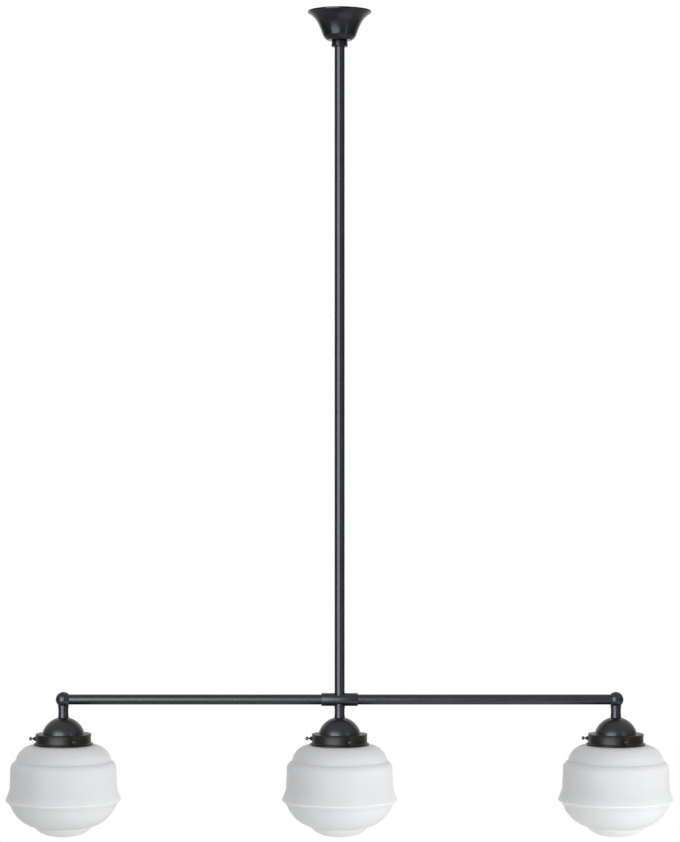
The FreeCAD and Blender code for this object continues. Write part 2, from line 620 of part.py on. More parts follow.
arm_bushes, arm_nipples = [], []
for side, sign, inward in (("left", "-", "+"), ("right", "", "-")):
    arm = tube(f"arm_{side}", "tube_bore", "tube_radius", f"{sign}socket_floor",
               f"{sign}arm_end {inward} bush_flange", "X")
    keep(place(arm, z="bar_height"), f"arm_{side}")
    bush = tube_bush(f"arm_bush_{side}", f"{sign}arm_end", inward, "X")
    arm_bushes.append(place(bush, z="bar_height"))
    outward = "-" if inward == "+" else "+"
    nipple = tube(f"arm_nipple_{side}", "wire_radius", "thread_radius", f"{sign}arm_end {inward} bush_grip",
                  f"{sign}arm_end {outward} ball_grip", "X")
    arm_nipples.append(place(nipple, z="bar_height"))
keep(group("arm_end_bushes", arm_bushes), "arm_end_bushes")
keep(group("arm_nipples", arm_nipples), "arm_nipples")

for side, x, inner in (("left", "-lamp_pitch", 1), ("right", "lamp_pitch", -1)):
    ball = doc.addObject("Part::Sphere", f"ball_{side}")
    ball.setExpression("Radius", formula("ball_radius"))
    hollows = []
    for name, radius, near, far in (("seat", "tube_hole", "ball_seat", "ball_radius"),
                                    ("thread", "thread_hole", "ball_seat - ball_grip", "ball_seat"),
                                    ("wire", "wire_radius", "-wire_radius", "ball_seat")):
        ends = (near, far) if inner == 1 else (f"-({far})", f"-({near})")
        hollows.append(round_bar(f"{name}_{side}_arm", radius, *ends, axis="X"))
        hollows.append(round_bar(f"{name}_{side}_stem", radius, f"-({far})", f"-({near})"))
    elbow = cut(f"elbow_ball_{side}", ball, join(f"elbow_holes_{side}", hollows))
    keep(place(elbow, x, z="bar_height"), f"elbow_ball_{side}")

# ---- The three lamps ----


def make_stem(name, seat, brim):
    """A turned spacer: a plain end for its seat, then a waist between two bands."""
    half = f"(stem_foot - {brim}) / 2 - stem_band"
    waist = f"(({half}) ^ 2 + stem_hollow ^ 2) / (2 * stem_hollow)"
    return turned(name, (
        ("thread_hole", f"-{seat}"),
        ("tube_radius", f"-{seat}"),
        ("tube_radius", f"-{brim}"),
        ("stem_radius", f"-{brim}"),
        ("stem_radius", f"-{brim} - stem_band"),
        ("stem_radius", "stem_band - stem_foot", waist, "right"),
        ("stem_radius", "-stem_foot"),
        ("thread_hole", "-stem_foot")))


def make_dome(name):
    hole = "thread_radius + fit_gap"
    return turned(name, (
        (hole, "-stem_foot"),
        ("tube_radius", "-stem_foot"),
        ("dome_foot", "-gallery_drop", "dome_radius", "left"),
        ("dome_foot_bore", "-gallery_drop"),
        ("crown_bore", "-stem_foot - dome_wall", "dome_bore", "right"),
        (hole, "-stem_foot - dome_wall")))


def make_gallery(name):
    """A spun gallery whose own origin is level with its thumb screws."""
    hole = "thread_radius + fit_gap"
    bead = "(bead_height ^ 2 / 4 + bead_reach ^ 2) / (2 * bead_reach)"
    foot = "screw_level - gallery_height"
    flare_top = f"{foot} + flange_height + flare_height"
    body = turned(name, (
        (hole, "screw_level"),
        ("gallery_radius", "screw_level"),
        ("gallery_radius", "screw_level - bead_height", bead, "left"),
        ("gallery_radius", flare_top),
        ("flange_radius", f"{foot} + flange_height", "flange_radius - gallery_radius", "right"),
        ("flange_radius", foot),
        ("flange_radius - gallery_wall", foot),
        ("gallery_bore", flare_top, "flange_radius - gallery_radius + gallery_wall", "left"),
        ("gallery_bore", "screw_level - gallery_wall"),
        (hole, "screw_level - gallery_wall")))
    boss = turn(body, name + "_boss", (
        ("0", "boss_root"),
        ("boss_base / 2", "boss_root"),
        ("boss_tip / 2", "boss_end"),
        ("0", "boss_end")), axis="X")
    doc.recompute()
    bore = turn(body, name + "_bore", (
        ("0", "screw_tip"),
        ("screw_radius + screw_gap", "screw_tip"),
        ("screw_radius + screw_gap", "boss_end"),
        ("0", "boss_end")), "PartDesign::Groove", "X")
    cut_into(body, bore)
    ring = body.newObject("PartDesign::PolarPattern", name + "_bosses")
    ring.Originals = [boss, bore]
    ring.Axis = (origin_item(body, "Z_Axis"), [""])
    ring.Angle = 360
    ring.Occurrences = len(SCREWS)
    body.Tip = ring
    return body


def make_thumb_screw(name):
    knob_edge = "knob_radius - knob_round"
    return turned(name, (
        ("0", "screw_tip"),
        ("screw_radius / 2", "screw_tip"),
        ("screw_radius", "screw_tip + screw_radius / 2"),
        ("screw_radius", "shank_end"),
        ("screw_neck / 2", "shank_end"),
        ("screw_neck / 2", "knob_root"),
        (knob_edge, "knob_root"),
        ("knob_radius", "knob_root + knob_round", "knob_round", "left"),
        ("knob_radius", "knob_reach - knob_round"),
        (knob_edge, "knob_reach", "knob_round", "left"),
        ("0", "knob_reach")), "X")


def make_glass(name):
    wall, slant = "glass_wall", "glass_slant"
    return turned(name, (
        ("lip_radius - lip_round", "lip_top"),
        ("lip_radius", "lip_top - lip_round", "lip_round", "left"),
        ("lip_radius", "lip_top - lip_height"),
        ("neck_radius", "lip_top - lip_height"),
        ("neck_radius", "neck_curve - brow_depth"),
        ("neck_radius + neck_curve", "-brow_depth", "neck_curve", "right"),
        ("brow_radius", "-brow_depth"),
        ("shoulder_radius", "-shoulder_depth", "shoulder_curve", "left"),
        ("crease_radius", "-crease_depth", "crease_curve", "right"),
        ("roll_radius", "-roll_depth", "roll_curve", "left"),
        ("wall_radius", "-wall_depth"),
        ("ridge_radius", "-ridge_depth + ridge_height / 2"),
        ("ridge_radius", "-ridge_depth - ridge_height / 2", "ridge_curve", "left"),
        ("root_radius", "-root_depth", "root_curve", "right"),
        ("bowl_radius", "-bowl_depth", "bowl_curve", "left"),
        ("notch_radius", "-notch_depth", "notch_curve", "right"),
        ("foot_radius", "-foot_depth", "foot_curve", "left"),
        ("0", "-glass_height", "base_curve", "left"),
        ("0", f"-glass_height + {wall}"),
        ("foot_radius", f"-foot_depth + {wall}", f"base_curve - {wall}", "right"),
        (f"notch_radius - {slant}", f"-notch_depth + {slant}", f"foot_curve - {wall}", "right"),
        (f"root_radius - {wall}", "-root_depth", f"bowl_curve - {wall}", "right"),
        ("ridge_radius - ridge_wall", "-ridge_depth"),
        (f"wall_radius - {wall}", "-wall_depth"),
        (f"roll_radius - {wall}", "-roll_depth"),
        (f"crease_radius - {wall}", f"-crease_depth - {slant}", f"roll_curve - {wall}", "right"),
        (f"shoulder_radius - {wall}", "-shoulder_depth"),
        ("brow_radius", f"-brow_depth - {wall}", f"shoulder_curve - {wall}", "right"),
        ("neck_radius + neck_curve", f"-brow_depth - {wall}"),
        ("neck_bore", "neck_curve - brow_depth", f"neck_curve + {wall}", "left"),
        ("neck_bore", "lip_top")))


def make_holder(name):
    return turned(name, (
        ("thread_hole", "-nut_height"),
        ("holder_top / 2", "-nut_height"),
        ("holder_radius", "-nut_height - holder_shoulder", "holder_shoulder", "left"),
        ("holder_radius", "-holder_foot"),
        ("socket_diameter / 2", "-holder_foot"),
        ("socket_diameter / 2", "-socket_top"),
        ("rivet_diameter / 2 + fit_gap", "-socket_top"),
        ("rivet_diameter / 2 + fit_gap", "-chamber_floor"),
        ("chamber_diameter / 2", "-chamber_floor"),
        ("chamber_diameter / 2", "-chamber_top"),
        ("thread_hole", "-chamber_top")))


def make_screw_shell(name):
    return turned(name, (
        ("shell_opening", "-socket_top"), ("shell_radius", "-socket_top"),
        ("shell_radius", "-socket_top - shell_length"), ("shell_bore", "-socket_top - shell_length"),
        ("shell_bore", "-socket_top - shell_wall"), ("shell_opening", "-socket_top - shell_wall")))


def make_contact(name):
    return turned(name, (
        ("0", "rivet_head - chamber_floor"), ("rivet_head_diameter / 2", "rivet_head - chamber_floor"),
        ("rivet_head_diameter / 2", "-chamber_floor"), ("rivet_diameter / 2", "-chamber_floor"),
        ("rivet_diameter / 2", "-socket_top"), ("contact_diameter / 2", "-socket_top"),
        ("contact_diameter / 2", "-socket_top - contact_height"), ("0", "-socket_top - contact_height")))


def make_bulb_cap(name):
    return turned(name, (
        ("0", "-cap_top"), ("cap_contact / 2", "-cap_top"), ("cap_radius", "-cap_top - cap_cone"),
        ("cap_radius", "-cap_foot"), ("0", "-cap_foot")))


def make_bulb_globe(name):
    wall = "bulb_wall"
    return turned(name, (
        (f"cap_radius - {wall}", "-cap_foot"),
        ("cap_radius", "-cap_foot"),
        ("bulb_throat", f"-cap_foot - {wall}"),
        ("bulb_flank", "-flank_depth", "throat_curve", "right"),
        ("0", "-bulb_foot", "bulb_radius", "left"),
        ("0", f"-bulb_foot + {wall}"),
        (f"bulb_flank - {wall}", "-flank_depth", f"bulb_radius - {wall}", "right"),
        (f"bulb_throat - {wall}", f"-cap_foot - {wall}", f"throat_curve + {wall}", "left")))


lamp_nipples, lamp_nuts, screw_shells, contacts = [], [], [], []
for lamp, x, first_turn in LAMPS:
    joint = "sleeve" if lamp == "centre" else "ball"
    seat, grip = f"{joint}_seat", f"{joint}_grip"
    keep(place(make_stem(f"stem_{lamp}", seat, f"{joint}_brim"), x, z="bar_height"), f"stem_{lamp}")
    keep(place(make_dome(f"dome_{lamp}"), x, z="bar_height"), f"dome_{lamp}")
    gallery = make_gallery(f"gallery_{lamp}")
    keep(place(gallery, x, z="screw_height", turn=f"{first_turn} - 90"), f"gallery_{lamp}")
    for number in SCREWS:
        name = f"thumb_screw_{lamp}_{number}"
        turn_to = f"{first_turn} - 90 + {number - 1} * 360 / {len(SCREWS)}"
        keep(place(make_thumb_screw(name), x, z="screw_height", turn=turn_to), name)
    keep(place(make_glass(f"glass_shade_{lamp}"), x, z="bar_height - flange_drop"), f"glass_shade_{lamp}")
    nipple = tube(f"lamp_nipple_{lamp}", "wire_radius", "thread_radius",
                  "-plate_drop - nut_height - bush_grip", f"-({seat} - {grip})")
    lamp_nipples.append(place(nipple, x, z="bar_height"))
    lamp_nuts.append(hexagon_nut(f"lamp_nut_{lamp}", "nut_height", x, "bar_height - plate_drop - nut_height"))
    under_plate = {"x": x, "z": "bar_height - plate_drop"}
    keep(place(make_holder(f"lampholder_{lamp}"), **under_plate), f"lampholder_{lamp}")
    screw_shells.append(place(make_screw_shell(f"screw_shell_{lamp}"), **under_plate))
    contacts.append(place(make_contact(f"contact_{lamp}"), **under_plate))
    keep(place(make_bulb_cap(f"bulb_cap_{lamp}"), **under_plate), f"bulb_cap_{lamp}")
    keep(place(make_bulb_globe(f"bulb_globe_{lamp}"), **under_plate), f"bulb_globe_{lamp}")
keep(group("lamp_nipples", lamp_nipples), "lamp_nipples")
keep(group("lamp_nuts", lamp_nuts), "lamp_nuts")
keep(group("screw_shells", screw_shells), "screw_shells")
keep(group("centre_contacts", contacts), "centre_contacts")

# ---- Leads from the terminal block to the lampholders ----

VOLUME_ERROR = 0.01


def bent_lead(name, corners):
    """A round lead along straight runs joined by tangent arcs of one bend radius."""
    radius, bend = value("lead_diameter / 2"), value("lead_bend")
    points = [FreeCAD.Vector(*(value(text) for text in corner)) for corner in corners]
    edges, start = [], points[0]
    for before, point, after in zip(points, points[1:], points[2:]):
        back = (before - point).normalize()
        ahead = (after - point).normalize()
        half_turn = (math.pi - back.getAngle(ahead)) / 2
        reach = bend * math.tan(half_turn)
        into, out = point + back * reach, point + ahead * reach
        middle = point + (back + ahead).normalize() * (bend / math.cos(half_turn) - bend)
        edges += [Part.LineSegment(start, into).toShape(), Part.Arc(into, middle, out).toShape()]
        start = out
    edges.append(Part.LineSegment(start, points[-1]).toShape())
    path = Part.Wire(edges)
    section = Part.Wire(Part.makeCircle(radius, points[0], points[1] - points[0]))
    lead = doc.addObject("Part::Feature", name)
    lead.Shape = path.makePipeShell([section], True, False)
    if abs(lead.Shape.Volume / (math.pi * radius ** 2 * path.Length) - 1) > VOLUME_ERROR:
        raise RuntimeError(f"{name} has lost part of its length")
    return lead


lead_end = "bar_height - plate_drop - chamber_floor + rivet_head"
low_run = "nipple_top + lead_diameter / 2 + lead_lift"
high_run = f"{low_run} + lead_diameter + lead_gap"
entry = "terminal_offset"
keep(bent_lead("lead_centre", (
    ("0", entry, low_run), ("0", "lead_back", low_run), ("0", "lead_back", lead_end))), "lead_centre")
for side, sign in (("left", "-"), ("right", "")):
    across = f"{sign}lead_spacing"
    keep(bent_lead(f"lead_{side}", (
        (across, entry, high_run), (across, "-lead_front", high_run), (across, "-lead_front", "bar_height"),
        (f"{sign}lamp_pitch", "-lead_front", "bar_height"), (f"{sign}lamp_pitch", "-lead_front", lead_end))),
        f"lead_{side}")

# ---- Check and write ----

doc.recompute()
for item in doc.Objects:
    if {"Invalid", "Error"} & set(item.State):
        raise RuntimeError(f"{item.Label} failed: {item.State}")
for item in subparts:
    if item.Shape.isNull() or not item.Shape.isValid() or not item.Shape.Solids:
        raise RuntimeError(f"{item.Label} has no sound shape")
for item in subparts:
    item.Shape.exportStep(f"parts/{item.Label}.step")
print(len(subparts), "sub-parts written")
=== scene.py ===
import math

import bmesh
import bpy
from mathutils import Matrix, Vector


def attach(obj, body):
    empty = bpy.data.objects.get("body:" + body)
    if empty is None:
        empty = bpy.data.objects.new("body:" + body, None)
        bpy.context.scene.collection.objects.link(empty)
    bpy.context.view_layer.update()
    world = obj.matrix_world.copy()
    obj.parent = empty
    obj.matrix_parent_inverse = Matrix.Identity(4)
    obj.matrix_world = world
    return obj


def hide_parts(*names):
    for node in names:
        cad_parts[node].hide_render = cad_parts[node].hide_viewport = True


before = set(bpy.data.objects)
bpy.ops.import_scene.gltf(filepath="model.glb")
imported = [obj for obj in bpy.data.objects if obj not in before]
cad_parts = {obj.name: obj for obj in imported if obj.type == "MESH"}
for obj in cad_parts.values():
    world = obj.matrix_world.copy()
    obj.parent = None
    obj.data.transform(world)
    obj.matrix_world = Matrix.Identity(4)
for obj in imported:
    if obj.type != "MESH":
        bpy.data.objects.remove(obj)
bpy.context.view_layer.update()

# ---- The view ----
# The lamp is seen level and square on from a little over four metres, with a long lens.
# The eye is a little below the middle of the rod: the canopy is seen from below, the glass from above.
EYE = (0.0006, -4.313, -0.677)
LENS = 117.1
RISE = 0.0238

scene = bpy.context.scene
scene.view_settings.view_transform = "Standard"
lens = bpy.data.cameras.new("eye")
lens.lens = LENS
lens.shift_y = RISE
eye = bpy.data.objects.new("eye", lens)
eye.location = EYE
eye.rotation_euler = (math.radians(90), 0, 0)
scene.collection.objects.link(eye)
scene.camera = eye

# ---- The studio ----
# A white backdrop stands behind the lamp and a pale floor lies well below it. The room on the
# camera's side is dim, with a large window at the left front and a strip at the right that show in
# reflections only. A soft light at the right, a fill and a card near the floor light the glass.
ROOM_LIGHT = 0.60
ROOM_SHINE = 0.18
BACKDROP_EDGE = 0.5, 0.9
CEILING_EDGE = 0.1, 0.6
CEILING_SHINE = 0.7
WINDOW_COLOUR = (0.80, 0.86, 1.0)
FLOOR_HEIGHT = -2.3
FLOOR_RADIUS = 5.0
FLOOR_FADE = 2.0, 4.6
FLOOR_COLOUR = (0.86, 0.86, 0.85, 1)
FLOOR_SPECK = (0.84, 0.84, 0.83, 1)


class Wire:
    """A socket of a shader tree. Sums of wires and numbers become Math nodes."""

    def __init__(self, socket):
        self.socket = socket

    def node(self, kind, inputs=(), output=0, **settings):
        """Add a node to the tree: its settings first, then the values or wires of its sockets."""
        tree = self.socket.id_data
        node = tree.nodes.new("ShaderNode" + kind)
        for name, setting in settings.items():
            setattr(node, name, setting)
        for name, given in dict(inputs).items():
            if isinstance(given, Wire):
                tree.links.new(given.socket, node.inputs[name])
            else:
                node.inputs[name].default_value = given
        return Wire(node.outputs[output])

    def math(self, operation, *values):
        return self.node("Math", enumerate(values), operation=operation)

    def __add__(self, other):
        return self.math("ADD", self, other)

    def __sub__(self, other):
        return self.math("SUBTRACT", self, other)

    def __rsub__(self, other):
        return self.math("SUBTRACT", other, self)

    def __mul__(self, other):
        return self.math("MULTIPLY", self, other)

    __radd__ = __add__
    __rmul__ = __mul__

    def ramp(self, low, high):
        """0 at low to 1 at high, with soft ends."""
        return self.node("MapRange", {0: self, 1: low, 2: high}, interpolation_type="SMOOTHSTEP")

    def tint(self, first, second):
        """The first colour where this wire is 0 and the second where it is 1."""
        return self.node("Mix", {0: self, 6: first, 7: second}, 2, data_type="RGBA")

    def noise(self, scale, detail=2.0, roughness=0.5):
        sockets = {"Vector": self, "Scale": scale, "Detail": detail, "Roughness": roughness}
        return self.node("TexNoise", sockets)

    def stretched(self, scale, centre=(0, 0, 0)):
        """These coordinates moved to a centre in metres, then scaled."""
        shifted = [-middle * size for middle, size in zip(centre, scale)]
        return self.node("Mapping", {"Vector": self, "Location": shifted, "Scale": scale})

    def part(self, axis):
        return self.node("SeparateXYZ", {0: self}, "XYZ".index(axis))

    def bump(self, strength, depth):
        """A Normal from this wire as a height, with its full depth in metres."""
        return self.node("Bump", {"Height": self, "Strength": strength, "Distance": depth})


def new_material(name, constants={}):
    """A material, its shader with the sockets that don't vary, and the wire of its Object coordinates."""
    material = bpy.data.materials.new(name)
    material.use_nodes = True
    shader = material.node_tree.nodes["Principled BSDF"]
    for socket, setting in constants.items():
        shader.inputs[socket].default_value = setting
    coordinates = material.node_tree.nodes.new("ShaderNodeTexCoord")
    return material, shader, Wire(coordinates.outputs["Object"])


def connect(shader, wires):
    for socket, wire in wires.items():
        shader.id_data.links.new(wire.socket, shader.inputs[socket])


world = bpy.data.worlds.new("white_room")
scene.world = world
world.use_nodes = True
sky = world.node_tree.nodes["Background"]
sky.inputs["Color"].default_value = (1, 1, 1, 1)
rays = world.node_tree.nodes.new("ShaderNodeLightPath")
kinds = "Camera", "Glossy", "Transmission"
seen, glossy, through = (Wire(rays.outputs[f"Is {kind} Ray"]) for kind in kinds)
direction = Wire(world.node_tree.nodes.new("ShaderNodeTexCoord").outputs["Object"])
backdrop = direction.part("Y").ramp(*BACKDROP_EDGE)
ceiling = direction.part("Z").ramp(*CEILING_EDGE) * CEILING_SHINE
shine = ROOM_SHINE - ROOM_LIGHT + backdrop.math("MAXIMUM", backdrop, ceiling) * (1 - ROOM_SHINE)
mirrored = glossy.math("MAXIMUM", glossy, through)
connect(sky, {"Strength": ROOM_LIGHT + seen * (1 - ROOM_LIGHT) + mirrored * shine})

floor_paint, shader, spot = new_material("floor_paint", {"Roughness": 0.8, "Specular IOR Level": 0.0})
distance = spot.node("VectorMath", {0: spot}, 1, operation="LENGTH")
edge = distance.ramp(*FLOOR_FADE)
speck = spot.noise(60, 4)
connect(shader, {"Base Color": speck.tint(FLOOR_COLOUR, FLOOR_SPECK)})
tree = floor_paint.node_tree
haze = edge.node("Emission", {"Color": (1, 1, 1, 1), "Strength": 1.0})
camera_ray = Wire(tree.nodes.new("ShaderNodeLightPath").outputs["Is Camera Ray"])
blend = edge.node("MixShader", {0: edge * camera_ray, 1: Wire(shader.outputs[0]), 2: haze})
tree.links.new(blend.socket, tree.nodes["Material Output"].inputs["Surface"])

mesh = bmesh.new()
bmesh.ops.create_circle(mesh, cap_ends=True, segments=96, radius=FLOOR_RADIUS)
data = bpy.data.meshes.new("floor")
mesh.to_mesh(data)
mesh.free()
data.materials.append(floor_paint)
floor = bpy.data.objects.new("floor", data)
floor.location.z = FLOOR_HEIGHT
scene.collection.objects.link(floor)


def soft_light(name, place, target, width, height, power, colour=(1, 1, 1), shows=True, lights=True):
    """An area light out of the picture. shows: it is seen in reflections. lights: it lights surfaces."""
    light = bpy.data.lights.new(name, "AREA")
    light.shape = "RECTANGLE"
    light.size, light.size_y = width, height
    light.energy, light.color = power, colour
    lamp = bpy.data.objects.new(name, light)
    lamp.location = place
    lamp.rotation_euler = (Vector(target) - Vector(place)).to_track_quat("-Z", "Y").to_euler()
    lamp.visible_camera = False
    lamp.visible_glossy, lamp.visible_diffuse = shows, lights
    scene.collection.objects.link(lamp)


soft_light("window", (-1.50, -2.90, -0.55), (0, 0, -0.55), 3.2, 3.4, 230, WINDOW_COLOUR, lights=False)
soft_light("strip", (2.40, -2.25, -0.55), (0, 0, -0.55), 0.5, 3.4, 14, WINDOW_COLOUR, lights=False)
soft_light("soft_box", (2.60, -1.90, -0.75), (0, 0, -1.05), 2.0, 1.7, 32, shows=False)
soft_light("fill", (0.30, -3.10, -1.20), (0, 0, -1.15), 2.4, 1.4, 13, shows=False)
soft_light("card", (0.70, -0.70, -2.20), (0.60, -0.60, -1.20), 2.0, 1.6, 7)

# ---- Ceiling strap ----
# A strap of zinc-plated steel, stepped down in the middle, with a side tab for the terminal block.
# Two screws through its feet hold the whole lamp to the ceiling. It stays as the solid model has it.
ZINC = (0.53, 0.54, 0.55, 1)
ZINC_DULL = (0.36, 0.36, 0.36, 1)
ZINC_STRAW = (0.60, 0.57, 0.47, 1)


def zinc_plate(name, grain):
    """Bright zinc over rolled steel: drawn lines along the grain, straw-coloured clouds, dull spots."""
    material, shader, spot = new_material(name, {"Metallic": 1.0})
    cloud = spot.noise(55, 3)
    lines = spot.stretched(grain).noise(1.0, 3, 0.6)
    stain = spot.noise(420, 3).ramp(0.56, 0.74)
    colour = stain.tint(cloud.ramp(0.35, 0.75).tint(ZINC, ZINC_STRAW), ZINC_DULL)
    connect(shader, {
        "Base Color": colour,
        "Roughness": 0.27 + lines * 0.14 + stain * 0.12,
        "Normal": lines.bump(0.25, 0.00004)})
    return material


def dress(material, *nodes):
    """Give the finish to nodes that stay as the solid model has them."""
    for node in nodes:
        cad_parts[node].material_slots[0].material = material


strap_zinc = zinc_plate("strap_zinc", (60, 1800, 1800))
dress(strap_zinc, "ceiling_bracket")

# ---- Nuts, top nipple and earth screw ----
# The rod hangs from the strap by a threaded nipple with a nut above the seat and a thin one below it.
# A slotted brass screw beside them earths the strap. All are turned and threaded parts.
MM = 0.001
SHARP = math.radians(18)
ARC_STEP = math.radians(5)
SAME = 1e-4
NUT_FLATS = 14
NUT_CHAMFER = 0.58
THREAD = 5.0
THREAD_ROOT = 4.4
THREAD_PITCH = 1.0
TAPPED = THREAD + 0.05
WIRE_BORE = 3.5


def outward(mesh):
    """Merge what meets, and point every face outwards."""
    bmesh.ops.remove_doubles(mesh, verts=mesh.verts, dist=SAME)
    bmesh.ops.recalc_face_normals(mesh, faces=mesh.faces)
    if mesh.calc_volume(signed=True) < 0:
        bmesh.ops.reverse_faces(mesh, faces=mesh.faces)
    return mesh


def draw_to(mesh, start, radius, height, curve=0):
    """Draw from a vertex to (radius, height): straight, or along an arc of a radius that bulges to
    the left of the way there, or to the right where it is negative."""
    end = Vector((radius, 0, height))
    if not curve:
        vertex = mesh.verts.new(end)
        mesh.edges.new((start, vertex))
        return vertex
    way = end - start.co
    side = math.copysign(1, curve)
    across = Vector((way.z, 0, -way.x)).normalized() * side
    centre = (start.co + end) / 2 + across * math.sqrt(curve ** 2 - way.length_squared / 4)
    angle = 2 * math.asin(way.length / 2 / abs(curve))
    drawn = bmesh.ops.spin(mesh, geom=[start], cent=centre, axis=(0, side, 0), angle=angle,
                           steps=max(2, round(angle / ARC_STEP)))
    return drawn["geom_last"][0]


def spun(corners, steps=96, soften=0.0):
    """Spin an outline of (radius, height, curve) corners in millimetres round Z. It closes on itself,
    unless it starts and ends on the axis. soften takes the edge off every sharp corner."""
    mesh = bmesh.new()
    start = vertex = mesh.verts.new((corners[0][0], 0, corners[0][1]))
    for corner in corners[1:]:
        vertex = draw_to(mesh, vertex, *corner)
    if corners[0][0] or corners[-1][0]:
        mesh.edges.new((vertex, start))
    if soften:
        sharp = [v for v in mesh.verts if len(v.link_edges) == 2 and v.calc_edge_angle(0) > SHARP]
        bmesh.ops.bevel(mesh, geom=sharp, affect="VERTICES", offset=soften, segments=2, profile=0.5,
                        material=-1)
    bmesh.ops.spin(mesh, geom=mesh.verts[:] + mesh.edges[:], cent=(0, 0, 0), axis=(0, 0, 1),
                   angle=2 * math.pi, steps=steps, use_merge=True)
    return outward(mesh)


def threaded(crest, root, pitch, low, high, bore=0.0, points=2, steps=32):
    """A helical thread along Z from low to high, solid or with a bore."""
    mesh = bmesh.new()
    turns = math.ceil((high - low) / pitch) + 3
    column = []
    for number in range(turns * points + 1):
        depth = (1 - math.cos(2 * math.pi * number / points)) / 2
        height = low + (number / points - 2) * pitch
        column.append(mesh.verts.new((crest - depth * (crest - root), 0, height)))
    for first, second in zip(column, column[1:]):
        mesh.edges.new((first, second))
    bmesh.ops.spin(mesh, geom=mesh.verts[:] + mesh.edges[:], cent=(0, 0, 0), axis=(0, 0, 1),
                   dvec=(0, 0, pitch / steps), angle=2 * math.pi, steps=steps)
    bmesh.ops.remove_doubles(mesh, verts=mesh.verts, dist=SAME)
    for height, side in ((low, -1), (high, 1)):
        bmesh.ops.bisect_plane(mesh, geom=mesh.verts[:] + mesh.edges[:] + mesh.faces[:],
                               plane_co=(0, 0, height), plane_no=(0, 0, side), clear_outer=True)
    if bore:
        bmesh.ops.create_cone(mesh, cap_ends=False, segments=steps, radius1=bore, radius2=bore,
                              depth=high - low, matrix=Matrix.Translation((0, 0, (low + high) / 2)))
        for height in (low, high):
            rims = [edge for edge in mesh.edges if edge.is_boundary
                    and abs(edge.verts[0].co.z - height) < SAME]
            bmesh.ops.bridge_loops(mesh, edges=rims)
    else:
        bmesh.ops.holes_fill(mesh, edges=[edge for edge in mesh.edges if edge.is_boundary], sides=0)
    return outward(mesh)


def hollow_nipple(low, high, steps=32):
    """A threaded nipple along Z with the bore for the leads."""
    return threaded(THREAD, THREAD_ROOT, THREAD_PITCH, low, high, WIRE_BORE, steps=steps)


def hexagon_nut(height):
    """A nut from a turned blank with chamfered rims, cut to six flats."""
    corner = NUT_FLATS / math.sqrt(3)
    rim = corner - NUT_FLATS / 2
    drop = rim * NUT_CHAMFER
    mesh = spun(((TAPPED, 0), (corner - rim, 0), (corner, drop), (corner, height - drop),
                 (corner - rim, height), (TAPPED, height)), 60)
    for number in range(6):
        away = Matrix.Rotation(number * math.pi / 3, 3, "Z") @ Vector((0, 1, 0))
        cut = bmesh.ops.bisect_plane(mesh, geom=mesh.verts[:] + mesh.edges[:] + mesh.faces[:],
                                     plane_co=away * NUT_FLATS / 2, plane_no=away, clear_outer=True)
        rims = [item for item in cut["geom_cut"] if isinstance(item, bmesh.types.BMEdge)]
        bmesh.ops.edgeloop_fill(mesh, edges=rims)
    return outward(mesh)


def placed(mesh, x=0.0, y=0.0, z=0.0, turn=None):
    """Turn a mesh, by a matrix, then move it."""
    if turn:
        bmesh.ops.transform(mesh, matrix=turn, verts=mesh.verts)
    bmesh.ops.translate(mesh, vec=(x, y, z), verts=mesh.verts)
    return mesh


def together(*meshes):
    """Put several meshes into the first one."""
    first = meshes[0]
    for other in meshes[1:]:
        data = bpy.data.meshes.new("joined")
        other.to_mesh(data)
        other.free()
        first.from_mesh(data)
        bpy.data.meshes.remove(data)
    return first


def carve(mesh, tool, operation="DIFFERENCE"):
    """Cut one closed mesh out of another, or join the two into one skin."""
    things = []
    for part in (mesh, tool):
        data = bpy.data.meshes.new("carving")
        part.to_mesh(data)
        part.free()
        thing = bpy.data.objects.new("carving", data)
        scene.collection.objects.link(thing)
        things.append(thing)
    cut = things[0].modifiers.new("cut", "BOOLEAN")
    cut.operation, cut.object, cut.solver = operation, things[1], "EXACT"
    carved = bmesh.new()
    carved.from_object(things[0], bpy.context.evaluated_depsgraph_get())
    for thing in things:
        bpy.data.meshes.remove(thing.data)
    return carved


def piece(name, mesh, material, body, slot, *nodes):
    """Make an object of a mesh in millimetres. It rides on a body and stands for the nodes."""
    bmesh.ops.scale(mesh, vec=(MM, MM, MM), verts=mesh.verts)
    data = bpy.data.meshes.new(name)
    mesh.to_mesh(data)
    mesh.free()
    data.materials.append(material)
    data.shade_smooth()
    data.set_sharp_from_angle(angle=SHARP)
    thing = bpy.data.objects.new(name, data)
    scene.collection.objects.link(thing)
    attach(thing, body)
    if nodes:
        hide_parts(*nodes)
    return thing


screw_zinc = zinc_plate("screw_zinc", (900, 900, 300))
nuts = together(placed(hexagon_nut(5), z=-14), placed(hexagon_nut(3), z=-19))
piece("strap_nuts", nuts, screw_zinc, "frame", "zinc_steel", "bracket_nuts")
piece("upper_thread", hollow_nipple(-27.5, -8), screw_zinc, "frame", "zinc_steel", "top_nipple")

BRASS = (0.72, 0.54, 0.27, 1)
BRASS_DARK = (0.42, 0.27, 0.12, 1)
STRAP_SEAT = -14
EARTH_PLACE = -13.2
EARTH_TURN = 0.5


